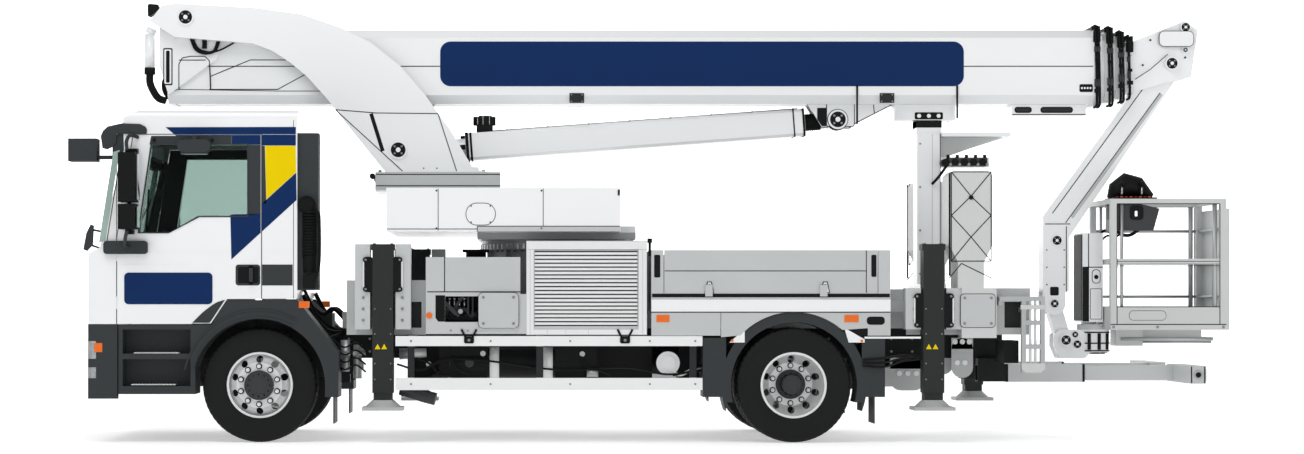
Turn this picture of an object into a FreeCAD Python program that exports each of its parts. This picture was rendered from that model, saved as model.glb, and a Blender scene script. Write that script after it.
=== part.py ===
"""Cherry picker truck: a two-axle lorry with a telescopic boom, a jib and a work basket.

Frame: millimetres, +Z up, +X towards the rear of the truck, +Y towards the driver's side
(the truck faces -X).  The origin lies on the ground under the middle of the truck's box.
"""
import FreeCAD, Part
import Sketcher
import math
import os

# Driving sizes in millimetres and degrees.  Places ending in _x, _y or _z are distances
# from the origin, the others are sizes of the piece that the first words name.
SIZES = {
    # running clearances
    "fit_gap": 0.05,
    "slide_gap": 0.3,
    "panel_gap": 8,
    "overrun": 40,
    # wheels
    "tyre_diameter": 1014,
    "tyre_width": 312,
    "tyre_shoulder": 34,
    "tyre_bead_diameter": 572,
    "rim_diameter": 600,
    "rim_width": 250,
    "rim_wall": 14,
    "rim_disc_depth": 70,
    "disc_flat_diameter": 400,
    "drum_diameter": 380,
    "vent_diameter": 62,
    "vent_circle": 456,
    "vent_count": 10,
    "hub_diameter": 260,
    "hub_length": 44,
    "twin_spacing": 343,
    # axles
    "front_axle_x": -3540,
    "wheelbase": 4710,
    "front_track": 2050,
    "rear_outer_track": 2156,
    "kingpin_inset": 80,
    "kingpin_diameter": 50,
    "knuckle_thickness": 96,
    "knuckle_height": 150,
    "beam_width": 110,
    "beam_height": 120,
    "axle_tube_diameter": 190,
    "diff_diameter": 430,
    "spring_width": 80,
    "spring_length": 1500,
    "spring_thickness": 56,
    # chassis rails
    "rail_front_x": -4900,
    "rail_rear_x": 3150,
    "rail_top_z": 1000,
    "rail_height": 270,
    "rail_flange": 80,
    "rail_wall": 10,
    "frame_width": 860,
    "cross_member": 120,
    # cab
    "cab_front_x": -5041,
    "cab_rear_x": -3201,
    "body_width": 2500,
    "cab_bottom_z": 1047,
    "cab_floor_z": 1270,
    "cab_floor": 30,
    "belt_z": 1800,
    "screen_foot_z": 1724,
    "screen_foot_x": -4935,
    "screen_head_z": 2578,
    "screen_head_x": -4724,
    "roof_edge_z": 2860,
    "roof_crown": 70,
    "roof_front_x": -4600,
    "cab_wall": 70,
    "cab_panel": 36,
    "cab_edge": 60,
    "screen_thickness": 8,
    # doors
    "door_front_x": -4785,
    "door_hinge_low_z": 1180,
    "door_hinge_high_z": 1600,
    "door_hinge_length": 110,
    "door_hinge_diameter": 14,
    "door_rear_x": -3518,
    "door_top_z": 2712,
    "door_top_lead": 145,
    "door_arch_x": -3817,
    "door_step_x": -3955,
    "window_top_z": 2622,
    "window_rear_x": -3641,
    "window_front_z": 1856,
    "window_rear_z": 1999,
    "window_front_x": -4592,
    "window_head_x": -4478,
    "window_drop_front_x": -4319,
    "window_drop_rear_x": -4073,
    "glass_thickness": 8,
    "glass_inset": 14,
    # front of the cab
    "bumper_bottom_z": 390,
    "bumper_depth": 264,
    "bumper_wall": 30,
    "lamp_bottom_z": 741,
    "lamp_height": 156,
    "lamp_width": 330,
    "fog_bottom_z": 571,
    "fog_height": 96,
    "fog_width": 150,
    "step_rear_x": -4099,
    "step_depth": 380,
    "step_recess": 180,
    "tread_thickness": 24,
    "upper_step_z": 786,
    "lower_step_z": 500,
    # front wheel arch
    "arch_inner_radius": 584,
    "arch_outer_radius": 677,
    "arch_top_z": 1267,
    "arch_width": 390,
    "arch_tail_x": -2885,
    "arch_tail_z": 404,
    "flap_height": 233,
    "flap_thickness": 12,
    # cab trim
    "visor_drop": 205,
    "visor_thickness": 24,
    "stack_length": 184,
    "stack_width": 200,
    "stack_bottom_z": 1346,
    "stack_top_z": 2728,
    "front_mirror_x": -5217,
    "front_mirror_length": 250,
    "front_mirror_width": 190,
    "front_mirror_height": 200,
    "front_mirror_z": 2480,
    "mirror_arm": 36,
    "mirror_reach": 250,
    "mirror_depth": 150,
    "mirror_height": 431,
    "mirror_bottom_z": 2114,
    "mirror_front_x": -4741,
    "wide_mirror_height": 220,
    "mirror_gap": 18,
    # cab inside
    "dash_depth": 330,
    "dash_height": 300,
    "seat_width": 500,
    "seat_depth": 500,
    "seat_height": 330,
    "seat_cushion": 120,
    "seat_back_height": 720,
    "seat_back_depth": 130,
    "seat_front_x": -4150,
    "seat_spacing": 1300,
    "wheel_ring_diameter": 450,
    "wheel_ring_bar": 32,
    "column_diameter": 70,
    # engine and shaft
    "engine_length": 1050,
    "engine_width": 560,
    "engine_bottom_z": 660,
    "engine_top_z": 1235,
    "engine_front_x": -4720,
    "gearbox_length": 700,
    "gearbox_width": 380,
    "gearbox_height": 380,
    "shaft_diameter": 100,
    # support frame
    "subframe_front_x": -2860,
    "subframe_height": 150,
    "beam_box_wall": 12,
    "beam_size_x": 190,
    "beam_size_z": 230,
    "front_near_leg_x": -2449,
    "front_far_leg_x": -2210,
    "rear_near_leg_x": 2399,
    "rear_far_leg_x": 3150,
    "leg_size": 184,
    "leg_wall": 10,
    "leg_bottom_z": 440,
    "leg_top_z": 1698,
    "leg_cap": 53,
    "leg_cap_margin": 20,
    "beam_end_margin": 40,
    "foot_bottom_z": 287,
    "foot_height": 30,
    "foot_length": 360,
    "foot_hub_height": 62,
    "guide_width": 134,
    "guide_depth": 176,
    "guide_top_z": 1751,
    "guide_bottom_z": 1000,
    "end_plate": 20,
    "end_plate_bottom_z": 950,
    "end_plate_top_z": 1434,
    "front_plate_x": -2779,
    # slewing
    "slew_x": -915,
    "pedestal_diameter": 1180,
    "pedestal_top_z": 1715,
    "ring_diameter": 1372,
    "ring_height": 59,
    "turntable_plate_z": 1801,
    "turntable_plate_length": 1417,
    "turntable_plate_height": 118,
    "turntable_plate_width": 1700,
    "turntable_front_x": -2421,
    "turntable_rear_x": -357,
    "turntable_side": 2400,
    "turntable_top_z": 2248,
    "turntable_bottom_z": 1863,
    # cabinets and lockers
    "cabinet_front_x": -1186,
    "cabinet_rear_x": -125,
    "cabinet_bottom_z": 950,
    "cabinet_top_z": 1779,
    "cabinet_depth": 490,
    "cabinet_frame": 72,
    "shutter_recess": 22,
    "slat_count": 20,
    "slat_depth": 8,
    "locker_bank_depth": 420,
    "locker_bank_bottom_z": 959,
    "locker_bank_top_z": 1311,
    "box_tube_rear_x": -1239,
    "box_tube_top_z": 1636,
    "bay_front_x": -1969,
    "bay_rear_x": -1609,
    "bay_bottom_z": 1064,
    "bay_depth": 300,
    "bay_margin": 67,
    "locker_front_x": -1600,
    "locker_rear_x": -1261,
    "locker_lid": 14,
    # load bed
    "bed_front_x": -86,
    "bed_rear_x": 2017,
    "bed_top_z": 1320,
    "bed_floor": 50,
    "bed_sheet": 5,
    "bed_beam_bottom_z": 1152,
    "bed_beam_width": 60,
    "bed_post": 106,
    "board_top_z": 1698,
    "board_thickness": 28,
    "board_hinge_drop": 20,
    "board_hinge_reach": 12,
    "board_hinge_diameter": 22,
    "board_hinge_length": 64,
    "board_strap_height": 90,
    "skirt_bottom_z": 945,
    "skirt_thickness": 15,
    "bed_cross_count": 4,
    "bed_cross": 80,
    # rear wings
    "wing_inner_radius": 556,
    "wing_outer_radius": 640,
    "wing_width": 360,
    "wing_box_length": 203,
    "wing_box_bottom_z": 404,
    "wing_box_top_z": 924,
    # side rails and tanks
    "guard_rear_x": 363,
    "guard_upper_z": 853,
    "guard_upper_height": 88,
    "guard_lower_z": 466,
    "guard_lower_height": 106,
    "guard_thickness": 36,
    "guard_post": 60,
    "silencer_front_x": -1860,
    "silencer_length": 1242,
    "silencer_diameter": 266,
    "silencer_z": 699,
    "silencer_y": 930,
    "filter_x": 70,
    "filter_diameter": 200,
    "filter_length": 260,
    "fuel_front_x": -1900,
    "fuel_length": 1150,
    "fuel_height": 430,
    "fuel_bottom_z": 430,
    "fuel_depth": 540,
    "fuel_edge": 70,
    "bracket_thickness": 50,
    # boom rest and rear cabinets
    "rest_front_x": 2423,
    "rest_length": 216,
    "rest_width": 240,
    "rest_top_z": 2801,
    "rest_cap": 47,
    "rest_pad": 64,
    "rest_gap": 6,
    "shelf_rear_x": 3270,
    "shelf_height": 38,
    "shelf_width": 420,
    "brace_size": 50,
    "tool_front_x": 2536,
    "tool_rear_x": 2915,
    "tool_bottom_z": 1440,
    "tool_top_z": 2393,
    "tool_depth": 400,
    "tool_neck": 150,
    "valve_length": 450,
    "valve_height": 91,
    "valve_width": 260,
    # rear end
    "rear_box_rear_x": 2950,
    "rear_box_bottom_z": 924,
    "rear_box_top_z": 1364,
    "rear_box_depth": 200,
    "ladder_front_x": 3179,
    "ladder_rear_x": 3386,
    "ladder_bottom_z": 616,
    "ladder_top_z": 1249,
    "ladder_bar": 40,
    "ladder_rung_count": 3,
    "ladder_side_y": 1200,
    "handrail_front_x": 2985,
    "tail_tube_rear_x": 3880,
    "tail_tube_bottom_z": 519,
    "tail_tube_size": 155,
    "tail_tube_wall": 10,
    "tail_tube_y": 455,
    "tail_inner_front_x": 3320,
    "tail_end_x": 4683,
    "tail_bar_length": 134,
    "tail_bar_inner_y": 300,
    "tail_bar_outer_y": 1150,
    # gooseneck
    "arm_thickness": 100,
    "arm_outer_y": 400,
    "neck_flange_bottom_z": 2262,
    "neck_flange_height": 164,
    "neck_flange_front_x": -2562,
    "neck_flange_rear_x": -1421,
    "boom_pin_x": -4291,
    "boom_pin_z": 3838,
    "boom_pin_diameter": 140,
    "lift_foot_x": -2352,
    "lift_foot_z": 2627,
    "lift_pin_diameter": 110,
    # boom
    "boom_front_x": -4545,
    "boom_bottom_z": 3062,
    "boom_height": 678,
    "boom_width": 520,
    "boom_wall": 12,
    "boom_bevel": 76,
    "section_step": 70,
    "boom_rear_x": 4090,
    "section_lead": 110,
    "section_rear_gap": 140,
    "collar_length": 70,
    "collar_rise": 22,
    "root_lug_thickness": 30,
    "bracket_front_x": 1540,
    "bracket_cheek": 36,
    "lift_eye_x": 1688,
    "lift_eye_z": 2923,
    "lift_eye_diameter": 250,
    "rest_bracket_front_x": 2213,
    "rest_bracket_rear_x": 2776,
    "skid_front_x": 3297,
    "skid_rear_x": 3980,
    "skid_drop": 100,
    # lift cylinder
    "barrel_start": 610,
    "barrel_end": 3750,
    "barrel_size": 250,
    "barrel_bore": 170,
    "rod_diameter": 140,
    "cylinder_eye_width": 160,
    "cylinder_eye_diameter": 230,
    # jib and head
    "head_front_x": 4390,
    "jib_pin_x": 4757,
    "jib_pin_z": 3436,
    "jib_pin_diameter": 90,
    "head_plate": 24,
    "jib_size": 250,
    "jib_width": 230,
    "jib_wall": 12,
    "jib_bend_x": 3712,
    "jib_bend_z": 1960,
    "level_pin_x": 3690,
    "level_pin_z": 1225,
    "level_pin_diameter": 60,
    "ear_thickness": 36,
    "ear_radius": 104,
    "link_width": 140,
    "carry_pin_x": 3789,
    "carry_pin_z": 889,
    # basket
    "turn_x": 4070,
    "turn_drum_diameter": 296,
    "turn_drum_bottom_z": 776,
    "turn_drum_top_z": 985,
    "carrier_bottom_z": 720,
    "basket_front_x": 4134,
    "basket_length": 1083,
    "basket_depth": 900,
    "basket_floor_height": 50,
    "basket_top_z": 2180,
    "basket_post": 56,
    "basket_rail": 44,
    "mid_rail_z": 1590,
    "toe_board_height": 165,
    "toe_board_thickness": 14,
    "end_panel_thickness": 30,
    "basket_cabinet_front_x": 3935,
    "basket_cabinet_rear_x": 4123,
    "basket_cabinet_width": 370,
    "basket_cabinet_top_z": 1875,
    "basket_cabinet_bottom_z": 1056,
    "console_length": 400,
    "console_height": 300,
    "console_width": 420,
    "console_bottom_z": 1890,
    "support_drop": 150,
    "support_length": 245,
    "support_bar": 90,
}

doc = FreeCAD.newDocument("CherryPickerTruck")
sheet = doc.addObject("Spreadsheet::Sheet", "Sizes")
for row, (alias, number) in enumerate(SIZES.items(), start=1):
    sheet.set(f"A{row}", alias)
    sheet.set(f"B{row}", str(number))
    sheet.setAlias(f"B{row}", alias)
doc.recompute()


class Size:
    """A number together with the cell expression that gives it."""

    def __init__(self, value, text):
        self.value = float(value)
        self.text = text

    def join(self, other, sign, value, swap=False):
        text = other.text if isinstance(other, Size) else repr(other)
        left, right = (text, self.text) if swap else (self.text, text)
        return Size(value, f"({left} {sign} {right})")

    def __add__(self, other):
        return self.join(other, "+", self.value + float(other))

    def __radd__(self, other):
        return self.join(other, "+", float(other) + self.value, swap=True)

    def __sub__(self, other):
        return self.join(other, "-", self.value - float(other))

    def __rsub__(self, other):
        return self.join(other, "-", float(other) - self.value, swap=True)

    def __mul__(self, other):
        return self.join(other, "*", self.value * float(other))

    def __rmul__(self, other):
        return self.join(other, "*", self.value * float(other), swap=True)

    def __truediv__(self, other):
        return self.join(other, "/", self.value / float(other))

    def __neg__(self):
        return Size(-self.value, f"(0 - {self.text})")

    def __float__(self):
        return self.value


class Table:
    """Reads a cell of the sheet as table.name."""

    def __getattr__(self, name):
        return Size(sheet.get(name), f"Sizes.{name}")


at = Table()
ZERO = Size(0, "0")


def root_of(total):
    """Square root of a Size."""
    return Size(math.sqrt(total.value), f"sqrt({total.text})")


def bind(thing, **settings):
    """Binds properties to expressions; __ stands for a dot in a property's path."""
    for name, size in settings.items():
        thing.setExpression(name.replace("__", "."), size.text if isinstance(size, Size) else str(size))
    return thing


def place(thing, x=ZERO, y=ZERO, z=ZERO):
    return bind(thing, Placement__Base__x=x, Placement__Base__y=y, Placement__Base__z=z)


def block(name, x, y, z):
    """A box between two values on each axis."""
    thing = doc.addObject("Part::Box", name)
    bind(thing, Length=x[1] - x[0], Width=y[1] - y[0], Height=z[1] - z[0])
    return place(thing, x[0], y[0], z[0])


def rod(name, axis, start, length, diameter):
    """A cylinder that starts at a point and runs along +X, +Y or +Z."""
    thing = doc.addObject("Part::Cylinder", name)
    bind(thing, Radius=diameter / 2, Height=length)
    turns = {"x": ((0, 1, 0), 90), "y": ((1, 0, 0), -90), "z": ((0, 0, 1), 0)}
    line, angle = turns[axis]
    thing.Placement = FreeCAD.Placement(FreeCAD.Vector(), FreeCAD.Rotation(FreeCAD.Vector(*line), angle))
    return place(thing, *start)


def slanted(name, start, end, y, diameter):
    """A cylinder between two (x, z) points in the plane at y."""
    thing = doc.addObject("Part::Cylinder", name)
    run, rise = end[0] - start[0], end[1] - start[1]
    length = root_of(run * run + rise * rise)
    bind(thing, Radius=diameter / 2, Height=length)
    thing.Placement = FreeCAD.Placement(FreeCAD.Vector(), FreeCAD.Rotation(FreeCAD.Vector(0, 1, 0), 1))
    bind(thing, Placement__Rotation__Angle=Size(0, f"atan2({run.text}; {rise.text})"))
    return place(thing, start[0], y, start[1])


PLANES = {"xy": "XY_Plane", "xz": "XZ_Plane", "yz": "YZ_Plane"}


def sketch_on(body, plane, offset, outlines, name):
    """A sketch of closed outlines on one of the body's own planes, each corner bound to its place."""
    sketch = body.newObject("Sketcher::SketchObject", name)
    support = [plain for plain in body.Origin.OriginFeatures if plain.Role == PLANES[plane]][0]
    sketch.AttachmentSupport = [(support, "")]
    sketch.MapMode = "FlatFace"
    if offset is not None:
        bind(sketch, AttachmentOffset__Base__z=offset)
    for corners in outlines:
        first = sketch.GeometryCount
        count = len(corners)
        for index, (across, up) in enumerate(corners):
            after = corners[(index + 1) % count]
            start = FreeCAD.Vector(float(across), float(up), 0)
            end = FreeCAD.Vector(float(after[0]), float(after[1]), 0)
            sketch.addGeometry(Part.LineSegment(start, end), False)
        for index in range(count):
            joint = Sketcher.Constraint("Coincident", first + index, 2, first + (index + 1) % count, 1)
            sketch.addConstraint(joint)
        for index, corner in enumerate(corners):
            for kind, size in zip(("DistanceX", "DistanceY"), corner):
                limit = Sketcher.Constraint(kind, -1, 1, first + index, 1, float(size))
                number = sketch.addConstraint(limit)
                if isinstance(size, Size):
                    sketch.setExpression(f"Constraints[{number}]", size.text)
    return sketch


def prism(name, plane, outlines, low, high):
    """A padded outline between two values on the axis that crosses its plane."""
    body = doc.addObject("PartDesign::Body", name)
    offset = -high if plane == "xz" else low
    if isinstance(outlines[0][0], (Size, int, float)):
        outlines = [outlines]
    sketch = sketch_on(body, plane, offset, outlines, name + "_outline")
    pad = body.newObject("PartDesign::Pad", name + "_pad")
    pad.Profile = sketch
    bind(pad, Length=high - low)
    return body


def turned(name, profile):
    """A profile of (along Y, radius) points turned about the Y axis."""
    body = doc.addObject("PartDesign::Body", name)
    sketch = sketch_on(body, "yz", None, [profile], name + "_profile")
    spin = body.newObject("PartDesign::Revolution", name + "_turn")
    spin.Profile = sketch
    spin.ReferenceAxis = (sketch, ["H_Axis"])
    spin.Angle = 360
    return body


def rounded(body, radius, choose):
    """Rounds the edges of a body that choose(edge) picks."""
    doc.recompute()
    tip = body.Tip
    edges = [f"Edge{index}" for index, edge in enumerate(tip.Shape.Edges, start=1) if choose(edge)]
    fillet = body.newObject("PartDesign::Fillet", body.Name + "_round")
    fillet.Base = (tip, edges)
    bind(fillet, Radius=radius)
    return body


def fuse(name, *pieces):
    thing = doc.addObject("Part::MultiFuse", name)
    thing.Shapes = list(pieces)
    return thing


def together(name, *pieces):
    """Solids of one sub-part that do not touch."""
    thing = doc.addObject("Part::Compound", name)
    thing.Links = list(pieces)
    return thing


def cut(name, base, *tools):
    thing = doc.addObject("Part::Cut", name)
    thing.Base = base
    thing.Tool = tools[0] if len(tools) == 1 else fuse(name + "_tools", *tools)
    return thing


def across(name, source):
    """The piece's mirror image on the other side of the truck."""
    thing = doc.addObject("Part::Mirroring", name)
    thing.Source = source
    thing.Normal = FreeCAD.Vector(0, 1, 0)
    thing.Base = FreeCAD.Vector(0, 0, 0)
    return thing


def both(name, source):
    """The piece and its mirror image as one sub-part."""
    return together(name, source, across(name + "_twin", source))


def moved(name, source, x=ZERO, y=ZERO, z=ZERO):
    """A linked copy of a piece at another place."""
    thing = doc.addObject("Part::Compound", name)
    thing.Links = [source]
    return place(thing, x, y, z)


nodes = []


def node(label, thing):
    """Marks an object as a sub-part, under the name of its file."""
    thing.Label = label
    nodes.append(thing)
    return thing


def parallel_to(axis, length_over=0.0):
    """Picks straight edges along an axis that are longer than a length."""
    unit = {"x": FreeCAD.Vector(1, 0, 0), "y": FreeCAD.Vector(0, 1, 0),
            "z": FreeCAD.Vector(0, 0, 1)}[axis]

    def choose(edge):
        if edge.Curve.TypeId != "Part::GeomLine" or edge.Length <= length_over:
            return False
        line = edge.tangentAt(edge.FirstParameter)
        return abs(abs(line.dot(unit)) - 1) < 1e-6
    return choose


# Levels and places that several pieces share
half_width = at.body_width / 2
rear_axle_x = at.front_axle_x + at.wheelbase
axle_z = at.tyre_diameter / 2
rail_bottom = at.rail_top_z - at.rail_height
frame_side = at.frame_width / 2
rail_inner = frame_side - at.rail_flange
beam_box_height = at.beam_size_z + 2 * at.beam_box_wall + 2 * at.slide_gap
beam_box_length = at.beam_size_x + 2 * at.beam_box_wall + 2 * at.slide_gap
leg_inner_y = half_width - at.leg_size
plate_y = leg_inner_y - at.panel_gap
subframe_top = at.rail_top_z + at.subframe_height


# Wheels
def rim_profile():
    """Half section of a disc wheel: barrel, flanges and a disc bulged outboard, towards -Y."""
    half = at.rim_width / 2
    wall = at.rim_wall
    flange = at.rim_diameter / 2
    bead = at.tyre_bead_diameter / 2 - at.slide_gap
    well = bead - wall
    face = -at.twin_spacing / 2
    plate = at.disc_flat_diameter / 2
    joint = -half + at.rim_disc_depth
    return [(-half, flange), (-half + wall, flange), (-half + wall, bead), (half - wall, bead),
            (half - wall, flange), (half, flange), (half, well), (joint + wall, well),
            (face + wall, plate - wall / 2),
            (face + wall, ZERO), (face, ZERO), (face, plate), (joint - wall / 2, well), (-half, well)]


def make_rim(name):
    """The pieces of a disc wheel: the turned rim with a ring of round vents, its hub and its drum."""
    body = turned(name + "_dish", rim_profile())
    doc.recompute()
    sketch = body.newObject("Sketcher::SketchObject", name + "_vent")
    support = [plain for plain in body.Origin.OriginFeatures if plain.Role == "XZ_Plane"][0]
    sketch.AttachmentSupport = [(support, "")]
    sketch.MapMode = "FlatFace"
    centre = FreeCAD.Vector(0, at.vent_circle.value / 2, 0)
    sketch.addGeometry(Part.Circle(centre, FreeCAD.Vector(0, 0, 1), at.vent_diameter.value / 2), False)
    sketch.addConstraint(Sketcher.Constraint("PointOnObject", 0, 3, -2))
    sketch.addConstraint(Sketcher.Constraint("DistanceY", -1, 1, 0, 3, centre.y))
    sketch.addConstraint(Sketcher.Constraint("Diameter", 0, at.vent_diameter.value))
    sketch.setExpression("Constraints[1]", (at.vent_circle / 2).text)
    sketch.setExpression("Constraints[2]", at.vent_diameter.text)
    vent = body.newObject("PartDesign::Pocket", name + "_vent_cut")
    vent.Profile = sketch
    vent.Type = "ThroughAll"
    vent.Midplane = True
    ring = body.newObject("PartDesign::PolarPattern", name + "_vents")
    ring.Originals = [vent]
    ring.Axis = (sketch, ["V_Axis"])
    axis = [line for line in body.Origin.OriginFeatures if line.Role == "Y_Axis"][0]
    ring.Axis = (axis, [""])
    ring.Angle = 360
    bind(ring, Occurrences=at.vent_count)
    body.Tip = ring
    face = -at.twin_spacing / 2
    hub = rod(name + "_hub", "y", (ZERO, face - at.hub_length, ZERO), at.hub_length, at.hub_diameter)
    drum = rod(name + "_drum", "y", (ZERO, face + at.rim_wall / 2, ZERO),
               at.rim_wall / 2 - face, at.drum_diameter)
    return body, hub, drum


def tyre_profile():
    half = at.tyre_width / 2
    outer = at.tyre_diameter / 2
    shoulder = at.tyre_shoulder
    bead = at.tyre_bead_diameter / 2
    foot = at.rim_width / 2 - at.rim_wall - at.slide_gap
    wall = (outer - bead) / 2
    return [(-foot, bead), (-foot, bead + shoulder / 2), (-half, bead + wall), (-half, outer - shoulder),
            (-half + shoulder, outer), (half - shoulder, outer), (half, outer - shoulder),
            (half, bead + wall), (foot, bead + shoulder / 2), (foot, bead)]


def wheel_at(name, x, y, twin):
    """A rim and a tyre, or a twin pair, at one end of an axle; y is the outer wheel's middle."""
    dish, hub, drum = make_rim("rim_" + name)
    rim = fuse("rim_solid_" + name, dish, hub, drum)
    tyre_one = turned("tyre_" + name + "_carcass", tyre_profile())
    tyres = [tyre_one]
    if twin:
        outer_dish = doc.addObject("Part::Mirroring", "rim_" + name + "_outer")
        outer_dish.Source = dish
        outer_dish.Normal = FreeCAD.Vector(0, 1, 0)
        rim = fuse("rim_pair_" + name, outer_dish,
                   moved("rim_" + name + "_inner", rim, y=at.twin_spacing))
        tyres.append(moved("tyre_" + name + "_inner", tyre_one, y=at.twin_spacing))
    tyre = together("tyre_set_" + name, *tyres)
    for label, thing in (("rim_" + name, rim), ("tyre_" + name, tyre)):
        if name.endswith("left"):
            node(label, moved(label + "_placed", thing, x, -y, axle_z))
        else:
            node(label, moved(label + "_placed", across(label + "_mirrored", thing), x, y, axle_z))


def make_wheels():
    wheel_at("front_left", at.front_axle_x, at.front_track / 2, twin=False)
    wheel_at("front_right", at.front_axle_x, at.front_track / 2, twin=False)
    wheel_at("rear_left", rear_axle_x, at.rear_outer_track / 2, twin=True)
    wheel_at("rear_right", rear_axle_x, at.rear_outer_track / 2, twin=True)


kingpin_y = at.front_track / 2 - at.kingpin_inset


def make_front_axle():
    """A drop beam with kingpin eyes, on two leaf springs under the rails."""
    eye_low = axle_z - at.beam_height / 2
    beam_end = kingpin_y - at.knuckle_thickness
    beam = block("axle_beam", (at.front_axle_x - at.beam_width / 2, at.front_axle_x + at.beam_width / 2),
                 (-beam_end, beam_end), (eye_low - at.beam_height / 2, eye_low + at.beam_height / 2))
    eye = rod("axle_eye", "z", (at.front_axle_x, -kingpin_y, axle_z - at.beam_height / 2), at.beam_height,
              at.knuckle_thickness)
    arm = block("axle_arm", (at.front_axle_x - at.beam_width / 3, at.front_axle_x + at.beam_width / 3),
                (-kingpin_y, -beam_end + at.overrun),
                (axle_z - at.beam_height / 2, axle_z + at.beam_height / 2))
    hole = rod("axle_eye_hole", "z", (at.front_axle_x, -kingpin_y, ZERO), at.tyre_diameter,
               at.kingpin_diameter + 2 * at.fit_gap)
    end = cut("axle_end", fuse("axle_end_block", eye, arm), hole)
    spring = leaf_spring("front_spring", at.front_axle_x, eye_low + at.beam_height / 2)
    node("front_axle", fuse("front_axle_all", beam, end, across("axle_end_right", end),
                            spring, across("front_spring_right", spring)))


def leaf_spring(name, middle, seat_z):
    """A leaf pack on an axle seat, its ends hung from the rail by two hangers."""
    side = (-frame_side + at.rail_wall, -frame_side + at.rail_wall + at.spring_width)
    pack = block(name + "_leaves", (middle - at.spring_length / 2, middle + at.spring_length / 2), side,
                 (seat_z, seat_z + at.spring_thickness))
    short = block(name + "_short_leaves", (middle - at.spring_length / 4, middle + at.spring_length / 4),
                  side,
                  (seat_z + at.spring_thickness, seat_z + 3 * at.spring_thickness / 2))
    hangers = []
    for number, way in enumerate((-1, 1)):
        end = middle + way * (at.spring_length / 2 - at.spring_width / 2)
        hangers.append(block(f"{name}_hanger_{number}",
                             (end - at.spring_width / 2, end + at.spring_width / 2),
                             side, (seat_z + at.spring_thickness, rail_bottom)))
    return fuse(name, pack, short, *hangers)


def make_rear_axle():
    """The driven axle: tube, differential bowl and leaf springs."""
    end = at.rear_outer_track / 2
    tube = rod("rear_axle_tube", "y", (rear_axle_x, -end, axle_z), 2 * end, at.axle_tube_diameter)
    inner = end - at.twin_spacing - at.rim_wall - at.slide_gap
    bowl = doc.addObject("Part::Sphere", "diff_bowl")
    bind(bowl, Radius=at.diff_diameter / 2)
    place(bowl, rear_axle_x, ZERO, axle_z)
    keep = block("rear_axle_keep", (rear_axle_x - at.diff_diameter, rear_axle_x + at.diff_diameter),
                 (-inner, inner), (ZERO, at.rail_top_z))
    core = doc.addObject("Part::MultiCommon", "rear_axle_core")
    core.Shapes = [fuse("rear_axle_solid", tube, bowl), keep]
    spring = leaf_spring("rear_spring", rear_axle_x, axle_z + at.axle_tube_diameter / 2)
    node("rear_axle", fuse("rear_axle_all", core, spring, across("rear_spring_right", spring)))


def make_knuckles():
    """The steered stub: a fork that holds the kingpin above and below the axle's eye."""
    eye_top = axle_z + at.beam_height / 2 + at.slide_gap
    eye_low = axle_z - at.beam_height / 2 - at.slide_gap
    fork_top = eye_top + at.knuckle_height / 4
    fork_low = eye_low - at.knuckle_height / 4
    pin = rod("kingpin", "z", (at.front_axle_x, -kingpin_y, fork_low), fork_top - fork_low,
              at.kingpin_diameter)
    cheek_x = (at.front_axle_x - at.knuckle_thickness / 2, at.front_axle_x + at.knuckle_thickness / 2)
    back = (-kingpin_y - at.knuckle_thickness / 2 - at.slide_gap, -kingpin_y + at.knuckle_thickness / 2)
    upper = block("knuckle_upper", cheek_x, back, (eye_top, fork_top))
    lower = block("knuckle_lower", cheek_x, back, (fork_low, eye_low))
    rim_face = at.rim_wall - at.front_track / 2 + at.slide_gap
    web = block("knuckle_web", cheek_x, (rim_face, -kingpin_y - at.knuckle_thickness / 2 - at.slide_gap),
                (fork_low, fork_top))
    shape = fuse("knuckle_shape", pin, upper, lower, web)
    node("knuckle_left", shape)
    node("knuckle_right", across("knuckle_right_shape", shape))


def c_rail(name, inner, outer, low, top, start, end, wall):
    """A channel rail whose open side faces the middle of the truck."""
    outline = [(outer, low), (outer, top), (inner, top), (inner, top - wall), (outer + wall, top - wall),
               (outer + wall, low + wall), (inner, low + wall), (inner, low)]
    return prism(name, "yz", outline, start, end)


def make_chassis():
    """Two channel rails joined by tubular cross members, with the tail hangers."""
    left = c_rail("rail_left", -rail_inner, -frame_side, rail_bottom, at.rail_top_z,
                  at.rail_front_x, at.rail_rear_x, at.rail_wall)
    inner_face = frame_side - at.rail_wall
    member_top = at.rail_top_z - at.rail_wall
    member_z = (member_top - at.cross_member, member_top)
    members = []
    stations = {"front": at.rail_front_x, "behind_gearbox": at.arch_tail_x,
                "pedestal_front": at.slew_x - at.pedestal_diameter / 2,
                "pedestal_rear": at.slew_x + at.pedestal_diameter / 2,
                "tail": at.rail_rear_x - at.cross_member}
    for place_name, start in stations.items():
        members.append(block("cross_" + place_name, (start, start + at.cross_member),
                             (-inner_face, inner_face),
                             member_z))
    hanger_low = at.tail_tube_bottom_z + at.tail_tube_size
    hanger = block("tail_hanger", (at.rail_rear_x - 2 * at.cross_member, at.rail_rear_x),
                   (-at.tail_tube_y - at.tail_tube_size / 2, -frame_side + at.rail_wall),
                   (hanger_low, rail_bottom))
    tube = tail_tube("tail_tube")
    node("chassis_frame", fuse("chassis_all", left, across("rail_right", left), *members, hanger,
                               across("tail_hanger_right", hanger), tube,
                               across("tail_tube_right", tube)))


tail_start = at.rail_rear_x - 2 * at.cross_member


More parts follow.
